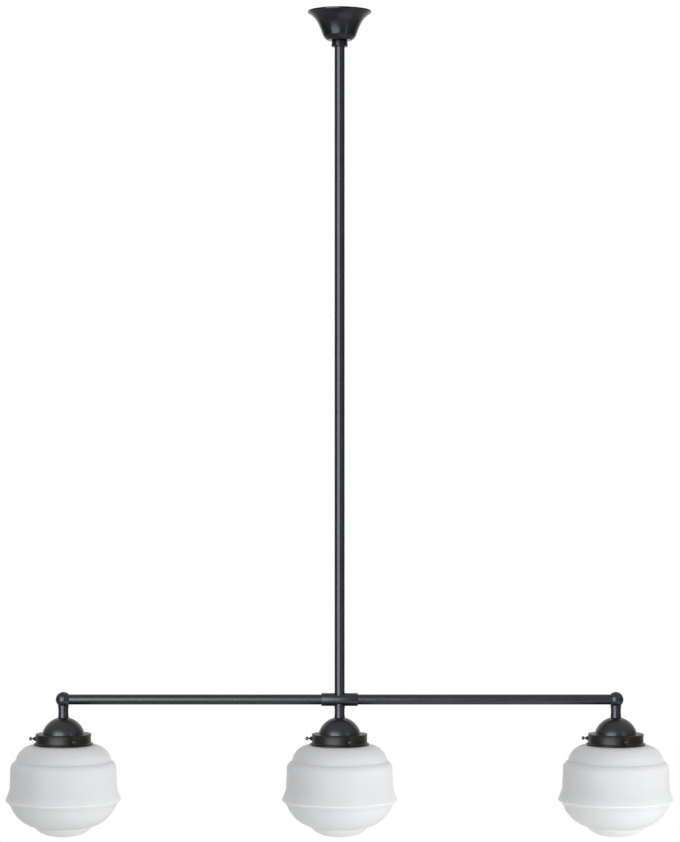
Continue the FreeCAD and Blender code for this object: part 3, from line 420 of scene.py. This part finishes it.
def turned_brass(name, centre=(0, 0, 0)):
    """Machined brass: fine lathe rings about the centre, warm tarnish in patches."""
    material, shader, spot = new_material(name, {"Metallic": 1.0})
    rings = spot.stretched((1, 1, 1), centre)
    radius = rings.node("VectorMath", {0: rings.stretched((1, 1, 0))}, 1, operation="LENGTH")
    lathe = radius.node("CombineXYZ", {0: radius * 5000, 2: rings.part("Z") * 5000}).noise(1.0, 2)
    tarnish = spot.noise(160, 4, 0.65).ramp(0.42, 0.72)
    connect(shader, {
        "Base Color": tarnish.tint(BRASS, BRASS_DARK),
        "Roughness": 0.24 + tarnish * 0.22 + lathe * 0.08,
        "Normal": lathe.bump(0.3, 0.00002)})
    return material


def slotted(mesh, top, width, depth, length):
    """Cut a driver's slot into the top of a screw."""
    tool = bmesh.new()
    bmesh.ops.create_cube(tool, size=1)
    bmesh.ops.scale(tool, vec=(length, width, 2 * depth), verts=tool.verts)
    bmesh.ops.translate(tool, vec=(0, 0, top), verts=tool.verts)
    return carve(mesh, tool)


earth_brass = turned_brass("earth_brass", (EARTH_PLACE * MM, 0, 0))
pan_head = spun(((0, 0), (3.2, 0), (3.2, 1.3), (0, 2.6, 4.6)), 48)
shank = threaded(2.0, 1.65, 0.7, -9, 0.05, steps=24)
earth = together(slotted(pan_head, 2.6, 0.9, 1.1, 8), shank)
earth = placed(earth, EARTH_PLACE, 0, STRAP_SEAT, Matrix.Rotation(EARTH_TURN, 4, "Z"))
piece("earthing_screw", earth, earth_brass, "frame", "bare_brass", "earth_screw")

# ---- Terminal block and leads ----
# A moulded nylon block of three poles on the side tab joins the supply to the three lamps' leads.
# Each pole has two slotted clamp screws in wells and an entry on either side.
NYLON = (0.80, 0.79, 0.73, 1)
NYLON_AGED = (0.72, 0.68, 0.57, 1)
BLOCK_LOW, BLOCK_HIGH = (-12, 12, -14), (12, 26, -1.5)
POLES = (-8, 0, 8)
SLITS = (-4, 4)
ENTRY_LEVEL = -10.6
SCREW_ROWS = (15.5, 22.5)


def box(low, high):
    mesh = bmesh.new()
    bmesh.ops.create_cube(mesh, size=1)
    bmesh.ops.scale(mesh, vec=Vector(high) - Vector(low), verts=mesh.verts)
    bmesh.ops.translate(mesh, vec=(Vector(high) + Vector(low)) / 2, verts=mesh.verts)
    return mesh


nylon, shader, spot = new_material("nylon", {"Subsurface Weight": 0.15, "Subsurface Scale": 0.002})
mould = spot.noise(2600, 2)
age = spot.noise(90, 3).ramp(0.4, 0.8)
connect(shader, {
    "Base Color": age.tint(NYLON, NYLON_AGED),
    "Roughness": 0.42 + mould * 0.16,
    "Normal": mould.bump(0.15, 0.00005)})

block = box(BLOCK_LOW, BLOCK_HIGH)
bmesh.ops.bevel(block, geom=block.edges, affect="EDGES", offset=0.7, segments=3, profile=0.5, material=-1)
for x in SLITS:
    block = carve(block, box((x - 0.5, 11, -12.5), (x + 0.5, 27, 0)))
for x in POLES:
    entry = spun(((0, 11), (1.7, 11), (1.7, 27), (0, 27)), 24)
    entry = placed(entry, x, 0, ENTRY_LEVEL, Matrix.Rotation(math.radians(-90), 4, "X"))
    block = carve(block, entry)
    for y in SCREW_ROWS:
        well = spun(((0, -7.6), (2.1, -7.6), (2.1, -2.1), (2.7, -1.4), (0, -1.4)), 32)
        block = carve(block, placed(well, x, y))
piece("nylon_block", outward(block), nylon, "frame", "terminal_body", "terminal_block")

clamps = []
for x in POLES:
    for y in SCREW_ROWS:
        blank = spun(((0, -7.5), (2.0, -7.5), (2.0, -1.8), (1.8, -1.6), (0, -1.6)), 32)
        turn = Matrix.Rotation(0.37 * x + 0.21 * y, 4, "Z")
        clamps.append(placed(slotted(blank, -1.6, 0.7, 1.0, 6), x, y, 0, turn))
piece("clamp_screws", together(*clamps), screw_zinc, "frame", "zinc_steel", "terminal_screws")

SHEATH = (0.78, 0.77, 0.73, 1)
SHEATH_DARK = (0.60, 0.59, 0.55, 1)
sheath, shader, spot = new_material("sheath", {"Sheen Weight": 0.2})
weave = spot.node("TexVoronoi", {"Vector": spot, "Scale": 2400.0}, 0)
grime = spot.noise(70, 3).ramp(0.5, 0.8)
connect(shader, {
    "Base Color": (weave * 0.7 + grime * 0.3).tint(SHEATH, SHEATH_DARK),
    "Roughness": 0.55 + grime * 0.15,
    "Normal": weave.bump(0.5, 0.00015)})
dress(sheath, "lead_left", "lead_centre", "lead_right")

# ---- Canopy ----
# A bell spun from one disc of steel sheet over a form, with an upright rim that meets the ceiling
# and a flat foot for the collar. It is powder coated satin black, and slides down the rod for wiring.
PAINT = (0.0055, 0.0060, 0.0085, 1)
PAINT_THIN = (0.0095, 0.0100, 0.0130, 1)
DUST = (0.085, 0.082, 0.078, 1)
CANOPY_FOOT = -46
SHEET = 1
SLIDING_BORE = 8.3


def powder_coat(name, shine, roughness):
    """Satin black powder coat: orange peel, a little uneven sheen, and dust on what faces up."""
    material, shader, spot = new_material(name, {"Specular IOR Level": shine})
    peel = spot.noise(780, 2, 0.55)
    cloud = spot.noise(26, 3)
    normal = spot.node("NewGeometry", (), "Normal").part("Z")
    dust = normal.ramp(0.35, 1.0) * spot.noise(240, 4, 0.7).ramp(0.45, 0.75) * 0.35
    connect(shader, {
        "Base Color": dust.tint(cloud.ramp(0.3, 0.8).tint(PAINT, PAINT_THIN), DUST),
        "Roughness": roughness + cloud * 0.06 + peel * 0.04 + dust * 0.3,
        "Normal": peel.bump(0.10, 0.00008)})
    return material


canopy_paint = powder_coat("canopy_paint", 0.30, 0.17)
canopy = spun((
    (50, 0), (50, -2.6), (48.6, -3.05), (48.1, -3.6), (33.1, -20.8, -39), (26.9, -36.3, -120),
    (19, CANOPY_FOOT, 15), (SLIDING_BORE, CANOPY_FOOT), (SLIDING_BORE, CANOPY_FOOT + SHEET),
    (18.5, CANOPY_FOOT + SHEET), (25.9, -36.3, -14), (32.1, -20.8, 121),
    (47.1, -3.6, 40), (49, -2.6), (49, 0)), 128, 0.25)
piece("canopy_bell", canopy, canopy_paint, "canopy", "black_paint", "canopy")

# ---- Collar and its grub screw ----
# A steel ring turned with a slight taper and enamelled gloss black. It carries the canopy, and a
# small socket screw at its back clamps it to the rod.
ENAMEL = (0.0045, 0.0045, 0.0052, 1)
ENAMEL_WORN = (0.012, 0.012, 0.013, 1)
COLLAR_FOOT = -56
GRUB_LEVEL = -51

gloss_enamel, shader, spot = new_material("gloss_enamel", {"Coat Roughness": 0.2, "Specular IOR Level": 0.2})
flow = spot.noise(190, 3)
connect(shader, {
    "Base Color": flow.ramp(0.4, 0.8).tint(ENAMEL, ENAMEL_WORN),
    "Roughness": 0.26 + flow * 0.07,
    "Coat Weight": 0.04 + flow * 0.04,
    "Normal": flow.bump(0.05, 0.0002)})
ring = spun((
    (SLIDING_BORE, CANOPY_FOOT), (11.9, CANOPY_FOOT), (12.25, -46.3), (12.9, -55.2), (12.4, COLLAR_FOOT),
    (SLIDING_BORE, COLLAR_FOOT)), 96, 0.15)
AIM_Y = Matrix.Rotation(math.radians(-90), 4, "X")
ring = carve(ring, placed(spun(((0, 2), (2.1, 2), (2.1, 20), (0, 20)), 40), 0, 0, GRUB_LEVEL, AIM_Y))
piece("clamp_collar", ring, gloss_enamel, "collar", "gloss_black", "canopy_collar")

grub = threaded(2.0, 1.65, 0.7, 8.1, 12.3, steps=28)
key_hole = bmesh.new()
bmesh.ops.create_cone(key_hole, cap_ends=True, segments=6, radius1=1.15, radius2=1.15, depth=4.6,
                      matrix=Matrix.Translation((0, 0, 12.3)))
piece("grub_screw", placed(carve(grub, key_hole), 0, 0, GRUB_LEVEL, AIM_Y), screw_zinc, "collar_screw",
      "zinc_steel", "collar_screw")

# ---- Drop rod ----
# A drawn steel tube of 16 mm with a shouldered bush pressed into each end, coated with the rest.
# The foot of the lower bush stands in the seat of the sleeve, and a short nipple screws into both.
ROD_TOP, ROD_FOOT = -19, -1077.6
TUBE, BORE = 8, 6.8
BUSH_FLANGE, BUSH_LENGTH = 1, 12

black_paint = powder_coat("black_paint", 0.5, 0.24)


def tube_piece(low, high):
    return spun(((BORE, low), (TUBE, low), (TUBE, high), (BORE, high)), 72, 0.2)


def end_bush(end, inward):
    """A bush whose ring closes a tube at end; inward is 1 where the tube lies above it, or -1."""
    ring, foot = end + inward * BUSH_FLANGE, end + inward * BUSH_LENGTH
    spigot = BORE - 0.1
    return spun(((TAPPED, end), (TUBE, end), (TUBE, ring), (spigot, ring), (spigot, foot),
                 (TAPPED, foot)), 72, 0.22)


rod = tube_piece(ROD_FOOT + BUSH_FLANGE, ROD_TOP - BUSH_FLANGE)
piece("rod_tube", rod, black_paint, "frame", "black_paint", "down_rod")
piece("rod_bushes", together(end_bush(ROD_TOP, -1), end_bush(ROD_FOOT, 1)), black_paint, "frame",
      "black_paint", "rod_end_bushes")
piece("foot_thread", hollow_nipple(-1082, -1069.1), screw_zinc, "frame", "zinc_steel", "sleeve_nipple")

# ---- Sleeve of the bar ----
# A short thick tube where the two arms meet. Its bore is 20 mm deep at each end for the arms, and the
# rod and the middle stem stand in seats milled across it.
BAR = -1084
SLEEVE_HALF = 28.7
SEAT_BORE = TUBE + 0.1
ARM_SEAT = 8.7
SLEEVE_SEAT = 6.4
AIM_X = Matrix.Rotation(math.radians(90), 4, "Y")

sleeve = spun((
    (4, -ARM_SEAT), (SEAT_BORE, -ARM_SEAT), (SEAT_BORE, -SLEEVE_HALF), (9.7, -SLEEVE_HALF),
    (10.2, -28.2), (10.2, 28.2), (9.7, SLEEVE_HALF), (SEAT_BORE, SLEEVE_HALF), (SEAT_BORE, ARM_SEAT),
    (4, ARM_SEAT)), 96, 0.12)
seats = spun((
    (0, -14), (SEAT_BORE, -14), (SEAT_BORE, -SLEEVE_SEAT), (WIRE_BORE, -SLEEVE_SEAT),
    (WIRE_BORE, SLEEVE_SEAT), (SEAT_BORE, SLEEVE_SEAT), (SEAT_BORE, 14), (0, 14)), 72)
sleeve = carve(placed(sleeve, turn=AIM_X), seats)
piece("bar_sleeve", placed(sleeve, z=BAR), black_paint, "frame", "black_paint", "cross_sleeve")

# ---- Arms ----
# Two tubes like the rod, pushed into the sleeve and closed by a bush at the outer end, where a short
# nipple joins each to its elbow ball.
PITCH = 435
ARM_END = 426.8

arm_bushes, arm_threads = [], []
for side, sign in (("left", -1), ("right", 1)):
    low, high = sorted((sign * ARM_SEAT, sign * (ARM_END - BUSH_FLANGE)))
    piece(f"tube_arm_{side}", placed(tube_piece(low, high), z=BAR, turn=AIM_X), black_paint, "frame",
          "black_paint", f"arm_{side}")
    arm_bushes.append(placed(end_bush(sign * ARM_END, -sign), z=BAR, turn=AIM_X))
    low, high = sorted((sign * (ARM_END - 8.5), sign * (ARM_END + 3.1)))
    arm_threads.append(placed(hollow_nipple(low, high), z=BAR, turn=AIM_X))
piece("bar_bushes", together(*arm_bushes), black_paint, "frame", "black_paint", "arm_end_bushes")
piece("arm_threads", together(*arm_threads), screw_zinc, "frame", "zinc_steel", "arm_nipples")

# ---- Elbow balls ----
# A steel ball of 24 mm turns the bar down to each outer lamp. Two seats are milled into it for the
# ends of the arm and the stem, with threads behind them for the nipples.
BALL_SEAT = 8.2

for side, sign in (("left", -1), ("right", 1)):
    ball = bmesh.new()
    bmesh.ops.create_uvsphere(ball, u_segments=96, v_segments=48, radius=12)
    for turn in (Matrix(), Matrix.Rotation(math.radians(90 * sign), 4, "Y")):
        tool = spun((
            (0, -14), (SEAT_BORE, -14), (SEAT_BORE, -BALL_SEAT), (TAPPED, -BALL_SEAT), (TAPPED, -5.1),
            (WIRE_BORE, -5.1), (WIRE_BORE, 0), (0, 0)), 72)
        ball = carve(ball, placed(tool, turn=turn))
    piece(f"ball_{side}", placed(ball, sign * PITCH, 0, BAR), black_paint, "frame", "black_paint",
          f"elbow_ball_{side}")

# ---- Stems ----
# A short turned steel spacer under the sleeve and under each ball carries the dome. It is waisted a
# little between its two ends, and the lamp's long nipple runs through it.
SLEEVE_BRIM, BALL_BRIM = 10.3, 8.95
STEM_BAND = 8.45
BAND_LENGTH = 0.8
STEM_WAIST = 0.6
STEM_FOOT = 28.44
LAMPS = (("left", -PITCH, 24.3), ("centre", 0, 18.5), ("right", PITCH, 12.7))

for lamp, x, _ in LAMPS:
    seat, brim = (SLEEVE_SEAT, SLEEVE_BRIM) if lamp == "centre" else (BALL_SEAT, BALL_BRIM)
    half = (STEM_FOOT - brim) / 2 - BAND_LENGTH
    curve = (half ** 2 + STEM_WAIST ** 2) / (2 * STEM_WAIST)
    stem = spun((
        (TAPPED, -seat), (TUBE, -seat), (TUBE, -brim), (STEM_BAND, -brim), (STEM_BAND, -brim - BAND_LENGTH),
        (STEM_BAND, BAND_LENGTH - STEM_FOOT, -curve), (STEM_BAND, -STEM_FOOT), (TAPPED, -STEM_FOOT)), 72, 0.2)
    piece(f"spacer_{lamp}", placed(stem, x, 0, BAR), black_paint, "frame", "black_paint", f"stem_{lamp}")

# ---- Domes ----
# Half a ball spun from steel sheet over each gallery, with a flat at its crown for the stem and a
# plain edge that rests on the gallery.
DOME_EDGE = -54
NIPPLE_HOLE = THREAD + 0.1

for lamp, x, _ in LAMPS:
    dome = spun((
        (NIPPLE_HOLE, -STEM_FOOT), (TUBE, -STEM_FOOT), (33.48, DOME_EDGE, 34.4), (32.45, DOME_EDGE),
        (7.88, -STEM_FOOT - SHEET, -33.4), (NIPPLE_HOLE, -STEM_FOOT - SHEET)), 128, 0.12)
    piece(f"half_ball_{lamp}", placed(dome, x, 0, BAR), black_paint, "frame", "black_paint", f"dome_{lamp}")

# ---- Galleries ----
# A shallow cup spun from steel, lacquered a warm brown black over its lathe lines. It has a bead at
# the top, a flared foot over the glass, and three flared bosses with a tapped hole for a thumb screw.
LACQUER = (0.0070, 0.0062, 0.0052, 1)
LACQUER_WORN = (0.0220, 0.0190, 0.0150, 1)
BROWN_SHEEN = (1.0, 0.94, 0.83, 1)
SCREW_LEVEL = -1146.3


def spun_lacquer(name, centre):
    """Thin brown-black lacquer over lathe lines that run round a centre."""
    material, shader, spot = new_material(name, {"Specular IOR Level": 0.3, "Specular Tint": BROWN_SHEEN})
    local = spot.stretched((1, 1, 1), centre)
    radius = local.node("VectorMath", {0: local.stretched((1, 1, 0))}, 1, operation="LENGTH")
    across = radius.node("CombineXYZ", {0: radius * 1500, 2: local.part("Z") * 1500})
    lines = across.noise(1.0, 3, 0.65)
    broad = across.noise(0.3, 2)
    worn = (lines * 0.6 + broad * 0.4).ramp(0.45, 0.72)
    cloud = spot.noise(60, 3)
    connect(shader, {
        "Base Color": worn.tint(LACQUER, LACQUER_WORN),
        "Roughness": 0.31 + cloud * 0.08 + lines * 0.08,
        "Normal": lines.bump(0.35, 0.00009)})
    return material


def boss_turn(degrees):
    """From Z to the way out through a boss."""
    return Matrix.Rotation(math.radians(degrees - 90), 4, "Z") @ AIM_X


for lamp, x, first in LAMPS:
    lacquer = spun_lacquer(f"spun_lacquer_{lamp}", (x * MM, 0, SCREW_LEVEL * MM))
    cup = spun((
        (NIPPLE_HOLE, 8.3), (43.4, 8.3), (43.4, 6.5, 1.06), (43.4, -4.4), (46.5, -6.8, -3.2), (46.5, -8.2),
        (45.4, -8.2), (42.3, -4.4, 4.3), (42.3, 7.2), (NIPPLE_HOLE, 7.2)), 128, 0.12)
    for number in range(3):
        turn = boss_turn(first + 120 * number)
        boss = spun(((0, 42.85), (4.25, 42.85), (2.75, 46.4, -5.2), (2.4, 47.8), (0, 47.8)), 48)
        cup = carve(cup, placed(boss, turn=turn), "UNION")
        hole = spun(((0, 38.8), (1.55, 38.8), (1.55, 49), (0, 49)), 32)
        cup = carve(cup, placed(hole, turn=turn))
    piece(f"cup_{lamp}", placed(cup, x, 0, SCREW_LEVEL), lacquer, "frame", "spun_black",
          f"gallery_{lamp}")

# ---- Thumb screws ----
# Small blackened steel screws with a thin neck and a straight-knurled knob, turned by hand until
# their tips meet the neck of the glass. Handling has polished them in small patches.
KNURLS = 20
BLACKENED = (0.035, 0.033, 0.031, 1)
POLISHED = (0.14, 0.13, 0.12, 1)

knob_steel, shader, spot = new_material("knob_steel", {"Metallic": 1.0})
rub = spot.noise(520, 3, 0.6).ramp(0.42, 0.68)
connect(shader, {
    "Base Color": rub.tint(BLACKENED, POLISHED),
    "Roughness": 0.34 - rub * 0.12,
    "Normal": rub.bump(0.15, 0.00005)})

for lamp, x, first in LAMPS:
    for number in range(3):
        name = f"thumb_screw_{lamp}_{number + 1}"
        knob = spun(((0, 49.15), (1.15, 49.15), (1.15, 50.5), (1.9, 50.5), (2.9, 51.5, 1.0),
                     (2.9, 53.5), (1.9, 54.5, 1.0), (1.3, 54.5), (0, 54.1)), 4 * KNURLS)
        grip = [face for face in knob.faces if 51.5 < face.calc_center_median().z < 53.5]
        ribs = [face for face in grip
                if round(math.atan2(*face.calc_center_median().yx) / math.tau * 4 * KNURLS - 0.5) % 4 < 2]
        bmesh.ops.inset_region(knob, faces=ribs, thickness=0.06, depth=-0.18, use_even_offset=True)
        shank = threaded(1.45, 1.2, 0.5, 39.4, 49.15, steps=20)
        tip = spun(((0, 38.8), (0.73, 38.8), (1.25, 39.4), (0, 39.4)), 20)
        screw = placed(together(knob, shank, tip), turn=boss_turn(first + 120 * number))
        piece(f"knob_{lamp}_{number + 1}", placed(screw, x, 0, SCREW_LEVEL), knob_steel, name,
              "spun_black", name)

# ---- Glass shades ----
# Opal glass blown into a mould: a rolled lip for the thumb screws, a round shoulder with a crease,
# a straight wall, a proud ridge, a full bowl and a small stepped foot. Its skin is smooth.
FLANGE = -1154.5
OPAL = (0.880, 0.882, 0.890, 1)
OPAL_THIN = (0.855, 0.858, 0.868, 1)

opal, shader, spot = new_material("opal", {
    "Subsurface Weight": 0.6, "Subsurface Scale": 0.014, "Subsurface Radius": (1.0, 0.95, 0.9),
    "Specular IOR Level": 0.15})
milk = spot.noise(14, 3)
ripple = spot.stretched((1, 1, 2.2)).noise(38, 2)
connect(shader, {
    "Base Color": milk.ramp(0.3, 0.75).tint(OPAL, OPAL_THIN),
    "Roughness": 0.42 + ripple * 0.12,
    "Normal": ripple.bump(0.12, 0.0006)})

for lamp, x, _ in LAMPS:
    shade = spun((
        (40, 15.4), (41, 14.4, 1), (41, 10.8), (38.5, 10.8), (38.5, 1.5), (41, -1, -2.5), (46, -1),
        (75, -25, 29.6), (77.2, -27, -2.4), (83, -36, 12), (84.4, -70), (90, -85.6), (90, -88.2, 1.7),
        (82, -98, -24), (47.5, -128.6, 54), (45, -130.4, -2.2), (24, -142.5, 42), (0, -145.5, 97),
        (0, -142), (24, -139, -93.5), (42.53, -127.93, -38.5), (78.5, -98, -50.5), (85.8, -86.9),
        (80.9, -70), (79.5, -36), (73.7, -29.47, -8.5), (71.5, -25), (46, -4.5, -26.1), (41, -4.5),
        (35, 1.5, 6), (35, 15.4), (40, 15.4)), 160)
    piece(f"opal_shade_{lamp}", placed(shade, x, 0, FLANGE), opal, "frame", "opal_glass",
          f"glass_shade_{lamp}")

# ---- Lampholders with their nipples and nuts ----
# Each lamp hangs on one long nipple through stem, dome and gallery, held by a thin nut. The holder
# below it is moulded in black thermoset, with a fluted skirt, and screws onto the nipple's end.
PLATE = -1139.1
THERMOSET = (0.020, 0.019, 0.019, 1)
THERMOSET_GREY = (0.045, 0.044, 0.043, 1)
FLUTES = 24
SLEEVE_GRIP, BALL_GRIP = 4.4, 3.1

thermoset, shader, spot = new_material("thermoset")
grain = spot.noise(1700, 3)
bloom = spot.noise(75, 3).ramp(0.45, 0.8)
connect(shader, {
    "Base Color": bloom.tint(THERMOSET, THERMOSET_GREY),
    "Roughness": 0.36 + grain * 0.12 + bloom * 0.1,
    "Normal": grain.bump(0.2, 0.00006)})

threads, nuts = [], []
for lamp, x, _ in LAMPS:
    holder = spun((
        (TAPPED, -3), (12, -3), (19.5, -17, 14), (19.5, -22), (19.5, -45), (19.5, -50), (14, -50),
        (14, -23), (2.1, -23), (2.1, -20), (12, -20), (12, -13), (TAPPED, -13)), 4 * FLUTES)
    skirt = [face for face in holder.faces if -45 < face.calc_center_median().z < -22
             and face.calc_center_median().xy.length > 19
             and round(math.atan2(*face.calc_center_median().yx) / math.tau * 4 * FLUTES - 0.5) % 4 < 2]
    bmesh.ops.inset_region(holder, faces=skirt, thickness=0.35, depth=-0.7, use_even_offset=True)
    piece(f"holder_{lamp}", placed(holder, x, 0, PLATE), thermoset, "frame", "holder",
          f"lampholder_{lamp}")
    top = SLEEVE_GRIP - SLEEVE_SEAT if lamp == "centre" else BALL_GRIP - BALL_SEAT
    threads.append(placed(hollow_nipple(PLATE - 11.5, BAR + top, steps=24), x))
    nuts.append(placed(hexagon_nut(3), x, 0, PLATE - 3))
piece("lamp_threads", together(*threads), screw_zinc, "frame", "zinc_steel", "lamp_nipples")
piece("plate_nuts", together(*nuts), screw_zinc, "frame", "zinc_steel", "lamp_nuts")

# ---- Screw shells and centre contacts ----
# A thin brass shell lines each holder for the bulb's cap, and a riveted brass contact stands in the
# middle of its floor.
shell_brass = turned_brass("shell_brass")
shells, contacts = [], []
for lamp, x, _ in LAMPS:
    shell = spun(((6, -23), (13.9, -23), (13.9, -48), (13.4, -48), (13.4, -23.5), (6, -23.5)), 64, 0.1)
    shells.append(placed(shell, x, 0, PLATE))
    contact = spun((
        (0, -18.8), (3.2, -18.8), (3.2, -20), (2, -20), (2, -23), (4, -23), (4, -24.6), (3.2, -25),
        (0, -25)), 40, 0.15)
    contacts.append(placed(contact, x, 0, PLATE))
piece("rolled_shells", together(*shells), shell_brass, "frame", "bare_brass", "screw_shells")
piece("rivet_contacts", together(*contacts), shell_brass, "frame", "bare_brass", "centre_contacts")

# ---- Bulbs ----
# A frosted globe bulb in each holder: a nickel-plated screw cap rolled with a round thread, closed by
# a shallow cone with the contact at its tip, and a thin blown globe.
NICKEL = (0.66, 0.65, 0.62, 1)
NICKEL_DULL = (0.45, 0.44, 0.42, 1)
FROST = (0.90, 0.90, 0.885, 1)
FROST_THIN = (0.82, 0.82, 0.81, 1)

nickel, shader, spot = new_material("nickel", {"Metallic": 1.0})
scuff = spot.noise(900, 3, 0.6).ramp(0.45, 0.7)
connect(shader, {
    "Base Color": scuff.tint(NICKEL, NICKEL_DULL),
    "Roughness": 0.24 + scuff * 0.2,
    "Normal": scuff.bump(0.1, 0.00004)})
frost, shader, spot = new_material("frost", {"Transmission Weight": 0.2})
etch = spot.noise(3500, 2)
coat = spot.noise(45, 3).ramp(0.3, 0.8)
connect(shader, {
    "Base Color": coat.tint(FROST, FROST_THIN),
    "Roughness": 0.38 + etch * 0.15,
    "Normal": etch.bump(0.15, 0.00004)})

for lamp, x, _ in LAMPS:
    cap = together(
        threaded(13.1, 12.2, 3.63, -50.3, -29.6, points=8, steps=64),
        spun(((0, -25.3), (2.6, -25.4), (4.5, -25.8), (12.4, -29.6), (0, -29.6)), 64, 0.1))
    piece(f"cap_{lamp}", placed(cap, x, 0, PLATE), nickel, f"bulb_{lamp}", "bulb_cap", f"bulb_cap_{lamp}")
    globe = spun((
        (12.1, -50.3), (13.1, -50.3), (14.5, -51.3), (27.5, -88.31, -60), (0, -130.3, 30),
        (0, -129.3), (26.5, -88.31, -29), (13.5, -51.3, 61)), 96)
    piece(f"globe_{lamp}", placed(globe, x, 0, PLATE), frost, f"bulb_{lamp}", "bulb_glass",
          f"bulb_globe_{lamp}")
